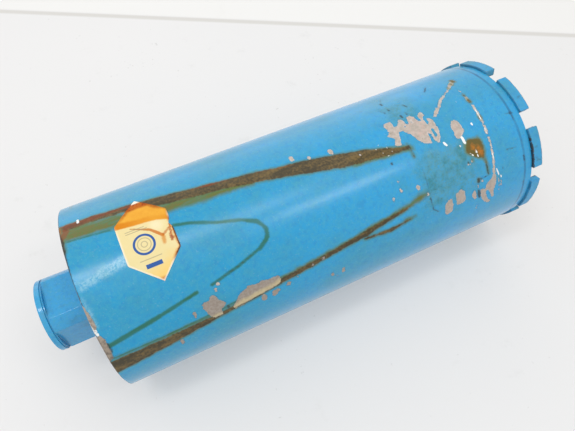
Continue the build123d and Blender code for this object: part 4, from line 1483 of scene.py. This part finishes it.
@dataclass
class Coupling:
    """The coupling: round bar with four milled flats, a groove, a collar and a threaded bore."""

    bar_radius: float = 21.0
    flats_apart: float = 35.0
    flat_turn: float = 10.0
    softness: float = 0.045  # of the flats' edges, in millimetres
    rubbed: float = 1.5  # how far from a flat's edge the paint is rubbed, in degrees
    groove_radius: float = 20.2
    groove_foot: float = 295.3
    collar_foot: float = 296.1
    collar_top: float = 299.0
    collar_bevel: float = 0.5
    spigot_radius: float = 15.0
    spigot_foot: float = 261.0
    thread_root: float = 13.5
    thread_crest: float = 11.876
    thread_pitch: float = 3.0
    thread_foot: float = 272.0
    passage_radius: float = 9.0
    finish: HubFinish = HubFinish()
    thread: ThreadFinish = ThreadFinish()

    def _edge(self) -> float:
        """Angle of a flat's edge from the flat's middle, in degrees."""
        return degrees(acos(self.flats_apart / 2 / self.bar_radius))

    def _turns(self) -> np.ndarray:
        """Angles of the columns from a flat's middle, close together at the flats' edges."""
        edge = self._edge()
        near = np.array((-self.rubbed, -0.6, 0.0, 0.6, self.rubbed))
        flat = np.linspace(3.5 - edge, edge - 3.5, 11)
        strip = np.linspace(edge + 4, 86 - edge, 4)
        side = np.concatenate((near - edge, flat, near + edge, strip))
        return np.concatenate([side + 90.0 * number for number in range(4)])

    def outline(self, grow: float = 0.0) -> np.ndarray:
        """The flats and the strips of round bar between them.

        Args:
            grow: how far outside the flats and the bar it runs.

        Returns:
            Points by two coordinates.
        """
        turns = self._turns()
        off_flat = np.radians((turns + 45) % 90 - 45)
        flat = (self.flats_apart / 2 + grow) / np.cos(off_flat)
        bar = np.full(len(turns), self.bar_radius + grow)
        radius = -self.softness * np.logaddexp(-flat / self.softness, -bar / self.softness)
        angle = np.radians(turns + self.flat_turn)
        return np.column_stack((radius * np.cos(angle), radius * np.sin(angle)))

    def shape(self) -> bpy.types.Object:
        """The coupling's mesh: one skin from the spigot, over the flats and collar, and down the bore."""
        flats = self.outline()
        radii = np.linalg.norm(flats, axis=1, keepdims=True)
        way = flats / radii
        off_edge = np.abs(np.abs((self._turns() + 45) % 90 - 45) - self._edge())
        near_edge = np.clip(1 - off_edge / self.rubbed, 0, 1)
        # How far the groove's wall overhangs
        hidden = np.clip((self.bar_radius - 0.4 - radii[:, 0]) / 0.8, 0, 1)
        low, high, foot, top = self.spigot_foot, PLATE_TOP, self.groove_foot, self.collar_top
        rim, groove, collar = self.bar_radius, self.groove_radius, self.collar_foot
        rings: list[tuple[np.ndarray, float, Numbers, Numbers]] = []  # outline, height, wear, nook_shade (painted shade)

        def ring(shape: Numbers, height: float, wear: Numbers = 0.0, nook_shade: Numbers = 0.0) -> None:
            """Add a ring: a circle of some radius, or a given outline."""
            rings.append((way * shape if isinstance(shape, float) else shape, height, wear, nook_shade))

        for radius, height in ((self.passage_radius + 0.5, low), (self.spigot_radius - 0.5, low),
                               (self.spigot_radius, low + 0.5), (self.spigot_radius, high)):
            ring(radius, height)
        for height in (high, high + 0.6):
            ring(flats, height, 0.0, 0.9)
        for height in np.linspace(high + 1.5, foot - 2.6, 22):
            ring(flats, float(height), near_edge * float(height > high + 3))
        # Painted shade grows towards the groove under the collar's overhang
        for drop, nook_shade in ((1.6, hidden * 0.12), (0.9, hidden * 0.4), (0.4, hidden * 0.8),
                           (0.15, np.maximum(hidden, 0.2))):
            ring(flats, foot - drop, near_edge, nook_shade)
        bar_side = np.where(radii > groove, radii - 0.12, np.minimum(radii + 0.12, groove))
        ring(way * bar_side, foot, 0.3 * (1 - hidden), np.maximum(hidden, 0.4))
        for radius, height in ((groove, foot), (groove, foot + 0.1), (groove, collar - 0.1),
                               (groove + 0.1, collar)):
            ring(radius, height, 0.0, 1.0)
        ring(rim - 0.12, collar, 0.3, 0.5)
        ring(rim, collar + 0.12, 0.7)
        for height in np.linspace(collar + 0.4, top - self.collar_bevel - 0.25, 5):
            ring(rim, float(height))
        for wear, (radius, height) in zip((0.3, 0.7, 0.7, 0.7, 0.3), rounded_rim(rim, top, self.collar_bevel)):
            ring(radius, height, wear)
        for radius in (20.0, 18.5, 17.0, 15.5, 14.5):
            ring(radius, top)
        ring(14.1, top, 0.4)
        ring(13.9, top - 0.1, 1.0)
        painted = len(rings)
        ring(self.thread_root + 0.02, top - 0.5)
        for height in np.linspace(top - 2.5, self.thread_foot + 1.2, 12):
            ring(self.thread_root, float(height))
        root, passage, end = self.thread_root, self.passage_radius, self.thread_foot
        for radius, height in ((root, end + 0.2), (root - 0.3, end), (passage + 0.4, end), (passage, end - 0.4),
                               (passage, low + 0.4)):
            ring(radius, height)
        count = len(flats)
        points = np.array([np.column_stack((shape, np.full(count, height))) for shape, height, _, _ in rings])
        mesh = grid_mesh("coupling_skin", points, close_rows=True, close_columns=True)
        give_numbers(mesh, "edge_wear", np.array([np.broadcast_to(wear, count) for _, _, wear, _ in rings]))
        give_numbers(mesh, "nook_shade", np.array([np.broadcast_to(nook_shade, count) for _, _, _, nook_shade in rings]))
        dress_skin(mesh, (self.finish.material(), self.thread.material()), points.shape[:2], painted - 1, 40)
        return add_piece("coupling", mesh)

    def _ridge(self, material: bpy.types.Material) -> Pattern:
        """A ridge wound along a spiral, fading at both ends."""
        p = Pattern("thread_ridge", root=13.6, crest=11.9, pitch=3.0, turns=7.6, foot=273.2)
        middle = (p.size("root") + p.size("crest")) * 0.5
        sockets = {"Resolution": 56, "Rotations": p.size("turns"), "Start Radius": middle,
                   "End Radius": middle, "Height": p.size("pitch") * p.size("turns")}
        spiral = p.node("GeometryNodeCurveSpiral", sockets).outputs[0]
        share = p.wire(p.node("GeometryNodeSplineParameter"), "Factor")
        fade = share.rise(-0.01, 0.05) * share.fall(0.94, 1.01)
        taper = p.node("GeometryNodeSetCurveRadius", {"Curve": spiral, "Radius": fade}).outputs[0]
        upright = p.node("GeometryNodeSetCurveNormal", {"Curve": taper}, mode="Z_UP").outputs[0]
        sockets = {"Height": p.size("root") - p.size("crest"), "Bottom Width": p.size("pitch") * 0.9,
                   "Top Width": p.size("pitch") * 0.22, "Offset": 0.0}
        form = p.node("GeometryNodeCurvePrimitiveQuadrilateral", sockets, mode="TRAPEZOID").outputs[0]
        turned_form = p.node("GeometryNodeTransform", {"Geometry": form, "Rotation": (0, 0, pi / 2)}).outputs[0]
        sockets = {"Curve": upright, "Profile Curve": turned_form, "Fill Caps": True}
        ridge = p.node("GeometryNodeCurveToMesh", sockets).outputs[0]
        sockets = {"Geometry": ridge, "Translation": p.vector(0.0, 0.0, p.size("foot"))}
        raised = p.node("GeometryNodeTransform", sockets)
        p.close(raised.outputs[0], material)
        return p

    def build(self) -> None:
        """Make the coupling and its thread, and fix them in the hub's place."""
        fit(self.shape(), "hub_paint", "coupling_hub")
        foot = self.thread_foot + 1.2
        turns = (self.collar_top - 3.0 - foot) / self.thread_pitch
        ridge = self._ridge(self.thread.material())
        piece = ridge.make("coupling_thread", root=self.thread_root + 0.1, crest=self.thread_crest,
                           pitch=self.thread_pitch, turns=turns, foot=foot)
        piece.data.set_sharp_from_angle(angle=radians(25))
        fit(piece, "hub_paint")


@dataclass
class BackEnd:
    """The back plate and the two weld beads that hold it and the coupling."""

    rim_bead_radius: float = 49.75
    rim_bead_lift: float = 0.12  # of each bead's middle over the plate
    hub_bead_lift: float = 0.85
    hub_bead_reach: float = 0.9
    ripple_pitch: float = 1.7
    ripple_depth: float = 0.2
    plate: PlateFinish = PlateFinish()
    weld: WeldFinish = WeldFinish()

    def _bead(self, material: bpy.types.Material) -> Pattern:
        """A bead of weld metal laid along a closed path, with crescent ripples."""
        p = Pattern("weld_bead", steps=800, width=2.1, depth=1.2, lean=0.4, pitch=1.7, ripple=0.2, seed=3)
        path = p.node("GeometryNodeMeshToCurve", {"Mesh": p.entry.outputs["Shape"]}).outputs[0]
        path = p.node("GeometryNodeResampleCurve", {"Curve": path, "Count": p.size("steps")}).outputs[0]
        path = p.node("GeometryNodeSetCurveNormal", {"Curve": path}, mode="Z_UP").outputs[0]
        path = p.keep(path, "run", p.wire(p.node("GeometryNodeSplineParameter"), "Length"))
        form = p.node("GeometryNodeCurvePrimitiveCircle", {"Resolution": 14, "Radius": 1.0}).outputs[0]
        form = p.keep(form, "side", p.parts(p.here())[0])
        sockets = {"Geometry": form, "Rotation": p.vector(0.0, 0.0, p.size("lean")),
                   "Scale": p.vector(p.size("width"), p.size("depth"), 1.0)}
        form = p.node("GeometryNodeTransform", sockets).outputs[0]
        bead = p.node("GeometryNodeCurveToMesh", {"Curve": path, "Profile Curve": form}).outputs[0]
        side = p.kept("side")
        phase = p.kept("run") / p.size("pitch") + side * side * 0.45 + (p.noise(9, p.size("seed")) - 0.5) * 1.4
        saw = abs(phase.fraction() - 0.5) * 2.0
        crest = 1.0 - saw * saw
        bead = p.keep(bead, "ripple", crest)
        swell = (p.noise(6, p.size("seed") + 5.0) - 0.5) * 0.35
        rise = crest * p.size("ripple") + swell - 0.12
        sockets = {0: p.node("GeometryNodeInputNormal").outputs[0], "Scale": rise}
        push = p.node("ShaderNodeVectorMath", sockets, operation="SCALE").outputs[0]
        p.close(p.node("GeometryNodeSetPosition", {"Geometry": bead, "Offset": push}).outputs[0], material)
        return p

    def _path(self, name: str, points: Sequence[Sequence[float]]) -> bpy.types.Mesh:
        """A closed path through some points, as a mesh of edges."""
        mesh = bpy.data.meshes.new(name)
        count = len(points)
        mesh.from_pydata([tuple(point) for point in points], [(i, (i + 1) % count) for i in range(count)], [])
        return mesh

    def build(self, coupling: Coupling) -> None:
        """Dress the plate and lay both beads.

        Args:
            coupling: the coupling whose foot the inner bead follows.
        """
        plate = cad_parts["back_plate"]
        plate.data.materials.clear()
        plate.data.materials.append(self.plate.material())
        log.info("back_plate: keeps its CAD form, with its own finish")
        bead = self._bead(self.weld.material())
        shared = {"pitch": self.ripple_pitch, "ripple": self.ripple_depth}
        height = PLATE_TOP + self.rim_bead_lift
        ring = [turned(self.rim_bead_radius, 2.0 * step, height) for step in range(180)]
        rim = bead.make("rim_bead", self._path("rim_path", ring), steps=860, width=2.05, depth=1.05, lean=0.37,
                        **shared)
        fit(rim, "weld_metal", "rim_weld")
        around = [(x, y, PLATE_TOP + self.hub_bead_lift) for x, y in coupling.outline(self.hub_bead_reach)]
        hub = bead.make("hub_bead", self._path("hub_path", around), steps=400, width=1.95, depth=1.35,
                        lean=-0.72, **shared)
        fit(hub, "weld_metal", "hub_weld")


@dataclass
class Label:
    """The paper label: a hexagon that is longer round the barrel than along it."""

    middle: float = 231.5
    width: float = 27.0
    span: float = 48.6
    side: float = 22.4
    thickness: float = 0.2
    bite_depth: float = 1.4  # torn out of the side that faces the crown
    bite_place: float = 2.6
    bite_reach: float = 1.9
    finish: LabelFinish = LabelFinish()

    def shape(self) -> bpy.types.Object:
        """The label's mesh, with its own places stored on its points."""
        columns, rows = 72, 40
        tip, high = self.span / 2, self.width / 2
        run = tip - self.side / 2  # of each slanting side, round the barrel
        ups = np.sin(np.linspace(-0.5, 0.5, columns) * pi * 0.985) / np.sin(0.5 * pi * 0.985) * tip
        ups = 0.35 * ups + 0.65 * np.linspace(-tip, tip, columns)
        half = high * np.clip((tip - np.abs(ups)) / run, 0.004, 1)
        share = np.linspace(-1, 1, rows)
        up = np.repeat(ups[None, :], rows, axis=0)
        torn = self.bite_depth * np.exp(-((ups - self.bite_place) / self.bite_reach) ** 2)
        on = share[:, None] * np.where(share[:, None] > 0, half - np.minimum(torn, half * 0.5), half)
        slant = ((tip - np.abs(up)) * high - np.abs(on) * run) / np.hypot(run, high)
        edge = np.minimum(high - np.abs(on), slant)
        lift = 0.12 * np.clip(1 - edge / 1.5, 0, 1) ** 2 * (0.5 + 0.5 * np.sin(up * 0.9 + on * 0.7))
        angle = np.radians(LABEL_TURN) + up / TUBE_RADIUS
        tops, under = (np.stack((radius * np.cos(angle), radius * np.sin(angle), self.middle - on), axis=2)
                       for radius in (TUBE_RADIUS + self.thickness * 0.8 + lift, TUBE_RADIUS))
        mesh = self._close(tops, under)
        for name, values in (("label_up", up), ("label_on", on), ("label_edge", np.clip(edge, 0, 20))):
            give_numbers(mesh, name, np.concatenate((values.ravel(), values.ravel())))
        mesh.materials.append(self.finish.material())
        mesh.set_sharp_from_angle(angle=radians(40))
        return add_piece("paper_label", mesh)

    def _close(self, tops: np.ndarray, under: np.ndarray) -> bpy.types.Mesh:
        """Join a top and a bottom sheet of the same grid into one closed mesh."""
        rows, columns = tops.shape[:2]
        shift = rows * columns
        top = np.arange(shift).reshape(rows, columns)
        low = top + shift
        faces = [np.stack((top[:-1, :-1], top[1:, :-1], top[1:, 1:], top[:-1, 1:]), 2).reshape(-1, 4),
                 np.stack((low[:-1, :-1], low[:-1, 1:], low[1:, 1:], low[1:, :-1]), 2).reshape(-1, 4)]
        border = np.concatenate((top[0, :-1], top[:-1, -1], top[-1, :0:-1], top[:0:-1, 0]))
        beyond = np.roll(border, -1)
        faces.append(np.stack((border, beyond, beyond + shift, border + shift), 1))
        mesh = bpy.data.meshes.new("label_sheet")
        places = np.concatenate((tops.reshape(-1, 3), under.reshape(-1, 3))) * MM
        mesh.from_pydata(places.tolist(), [], np.concatenate(faces).tolist())
        mesh.shade_smooth()
        return mesh

    def build(self) -> None:
        """Make the label and fix it in its node's place."""
        fit(self.shape(), "label_paper", "label")


# ---------------------------------------------------------------------------------------------
# Studio


@dataclass
class Studio:
    """A pale floor that the bit lies on, soft light from above, and the camera."""

    floor_up: tuple[float, float, float] = (0.149683, -0.988734, 0.0)
    floor_drop: float = CROWN_RADIUS
    floor_reach: float = 3000.0
    edge_slant: float = 29.4  # the sheet's folded edge, behind the bit: how it lies, in degrees
    edge_gap: float = 189.7  # and how far off it is, in millimetres
    floor_colour: tuple[Colour, Colour] = (tint(232, 231, 230), tint(228, 227, 226))
    floor_smudge: Colour = tint(176, 174, 170)
    floor_grime: Colour = tint(150, 146, 140)
    floor_beyond: Colour = tint(240, 239, 235)
    # a thin painted shadow along the sheet's fold
    floor_fold_shadow: Colour = tint(208, 205, 199)
    floor_even: Colour = tint(234, 234, 234)
    floor_glow: float = 0.28  # share of the floor that the camera and mirrors see as an even grey
    camera_place: tuple[float, float, float] = (-103.576, -284.572, 219.694)
    camera_way: tuple[float, float, float] = (0.337827, 0.913637, -0.226144)
    lens: float = 30.598
    tube_power: float = 0.58
    overhead_power: float = 0.95
    broad_power: float = 1.9
    world_light: float = 0.83

    def camera(self) -> None:
        """Stand the camera over the bit's worn side, level with the floor."""
        way = Vector(self.camera_way).normalized()
        right = way.cross(Vector(self.floor_up)).normalized()
        up = right.cross(way)
        seat = Matrix((right, up, -way)).transposed().to_4x4()
        seat.translation = Vector(self.camera_place) * MM
        data = bpy.data.cameras.new("camera")
        data.lens = self.lens
        data.sensor_width = 36.0
        data.clip_start = 0.01
        camera = bpy.data.objects.new("camera", data)
        camera.matrix_world = seat
        bpy.context.scene.collection.objects.link(camera)
        bpy.context.scene.camera = camera

    def floor(self) -> None:
        """A wide sheet under the bit, seen from above only."""
        up = Vector(self.floor_up).normalized()
        across = up.cross(Vector((0, 0, 1)))
        middle = Vector((0, 0, 150)) - up * self.floor_drop
        corners = [(middle + across * self.floor_reach * a + Vector((0, 0, self.floor_reach * b))) * MM
                   for a, b in ((-1, -1), (-1, 1), (1, 1), (1, -1))]
        mesh = bpy.data.meshes.new("floor")
        mesh.from_pydata(corners, [], [(0, 1, 2, 3)])
        if mesh.polygons[0].normal.dot(up) < 0:
            mesh.flip_normals()
        work = Paintwork("studio_floor")
        smudge = work.noise(26, 5, 0.7, 3).rise(0.6, 0.76)
        grime = (work.noise(3.2, 3, offset=8) + work.noise(60, 2, offset=12) * 0.25).rise(0.84, 0.9)
        x, y, z = work.parts(work.place)
        slant = radians(self.edge_slant)
        beyond = (x * across.x + y * across.y) / MM * cos(slant) + z / MM * sin(slant) + self.edge_gap
        colour = work.coats(work.mix(work.noise(220, 2), *self.floor_colour),
                            (smudge * 0.16, self.floor_smudge), (grime * 0.3, self.floor_grime),
                            (beyond.fall(-6, -2) * 0.7, self.floor_beyond),
                            # A thin painted shadow along the fold
                            (abs(beyond).fall(1.2, 4.2), self.floor_fold_shadow))
        face = work.node("ShaderNodeBsdfDiffuse", {"Color": colour})
        gone = work.node("ShaderNodeBsdfTransparent")
        behind = work.wire(work.node("ShaderNodeNewGeometry"), "Backfacing")
        rays = work.node("ShaderNodeLightPath")
        seen = work.wire(rays, "Is Camera Ray").at_least(work.wire(rays, "Is Glossy Ray")).at_least(
            work.wire(rays, "Is Transmission Ray"))
        even = work.node("ShaderNodeEmission", {"Color": self.floor_even, "Strength": 1.0})
        sockets = {0: seen * self.floor_glow, 1: face.outputs[0], 2: even.outputs[0]}
        pale = work.node("ShaderNodeMixShader", sockets)
        sockets = {0: behind, 1: pale.outputs[0], 2: gone.outputs[0]}
        work.node("ShaderNodeOutputMaterial", {0: work.node("ShaderNodeMixShader", sockets).outputs[0]})
        mesh.materials.append(work.material)
        add_piece("studio_floor", mesh)

    def _lamp(self, name: str, turn: float, height: float, distance: float, sides: Point, power: float) -> None:
        """A rectangular lamp that faces the bit's axis.

        Args:
            name: the lamp's name.
            turn: its place round the bit, in degrees from +X.
            height: where along the bit its middle is, in millimetres.
            distance: from the bit's axis, in millimetres.
            sides: its size along the bit and across, in metres.
            power: in watts.
        """
        data = bpy.data.lights.new(name, "AREA")
        data.shape = "RECTANGLE"
        data.size, data.size_y = sides
        data.energy = power
        lamp = bpy.data.objects.new(name, data)
        place = turned(distance, turn, height)
        back = (place - Vector((0, 0, height))).normalized()
        axis = Vector((0, 0, 1))
        seat = Matrix((axis, back.cross(axis), back)).transposed().to_4x4()
        seat.translation = place * MM
        lamp.matrix_world = seat
        lamp.visible_camera = False
        bpy.context.scene.collection.objects.link(lamp)

    def lights(self) -> None:
        """Three tubes, a soft lamp overhead, a broad one over the far side, and a white room."""
        self._lamp("back_tube", -83.2, 410.0, 800.0, (0.34, 0.11), self.tube_power * 1.6)
        self._lamp("dim_tube", -87.0, 110.0, 800.0, (0.36, 0.14), self.tube_power * 0.75)
        self._lamp("crown_tube", -104.6, -140.0, 800.0, (0.3, 0.1), self.tube_power)
        self._lamp("overhead", -95.0, 150.0, 900.0, (0.9, 0.7), self.overhead_power)
        self._lamp("broad_lamp", -12.0, 150.0, 900.0, (1.3, 0.9), self.broad_power)
        world = bpy.data.worlds.new("room")
        world.use_nodes = True
        room = Board(world.node_tree)
        room.tree.nodes.clear()
        rays = room.node("ShaderNodeLightPath")
        seen = room.wire(rays, "Is Camera Ray").at_least(room.wire(rays, "Is Glossy Ray"))
        strength = self.world_light + (1.0 - self.world_light) * seen
        glow = room.node("ShaderNodeBackground", {"Color": (1, 1, 1, 1), "Strength": strength})
        room.node("ShaderNodeOutputWorld", {0: glow.outputs[0]})
        bpy.context.scene.world = world
        bpy.context.scene.view_settings.view_transform = "Standard"

    def build(self) -> None:
        """Set up the whole studio."""
        self.camera()
        self.floor()
        self.lights()


def main() -> None:
    """Build the bit from its barrel outwards, then the studio."""
    logging.basicConfig(level=logging.INFO, format="%(name)s %(message)s")
    coupling = Coupling()
    Barrel().build()
    Crown().build()
    coupling.build()
    BackEnd().build(coupling)
    Label().build()
    Studio().build()


if __name__ == "__main__":
    main()
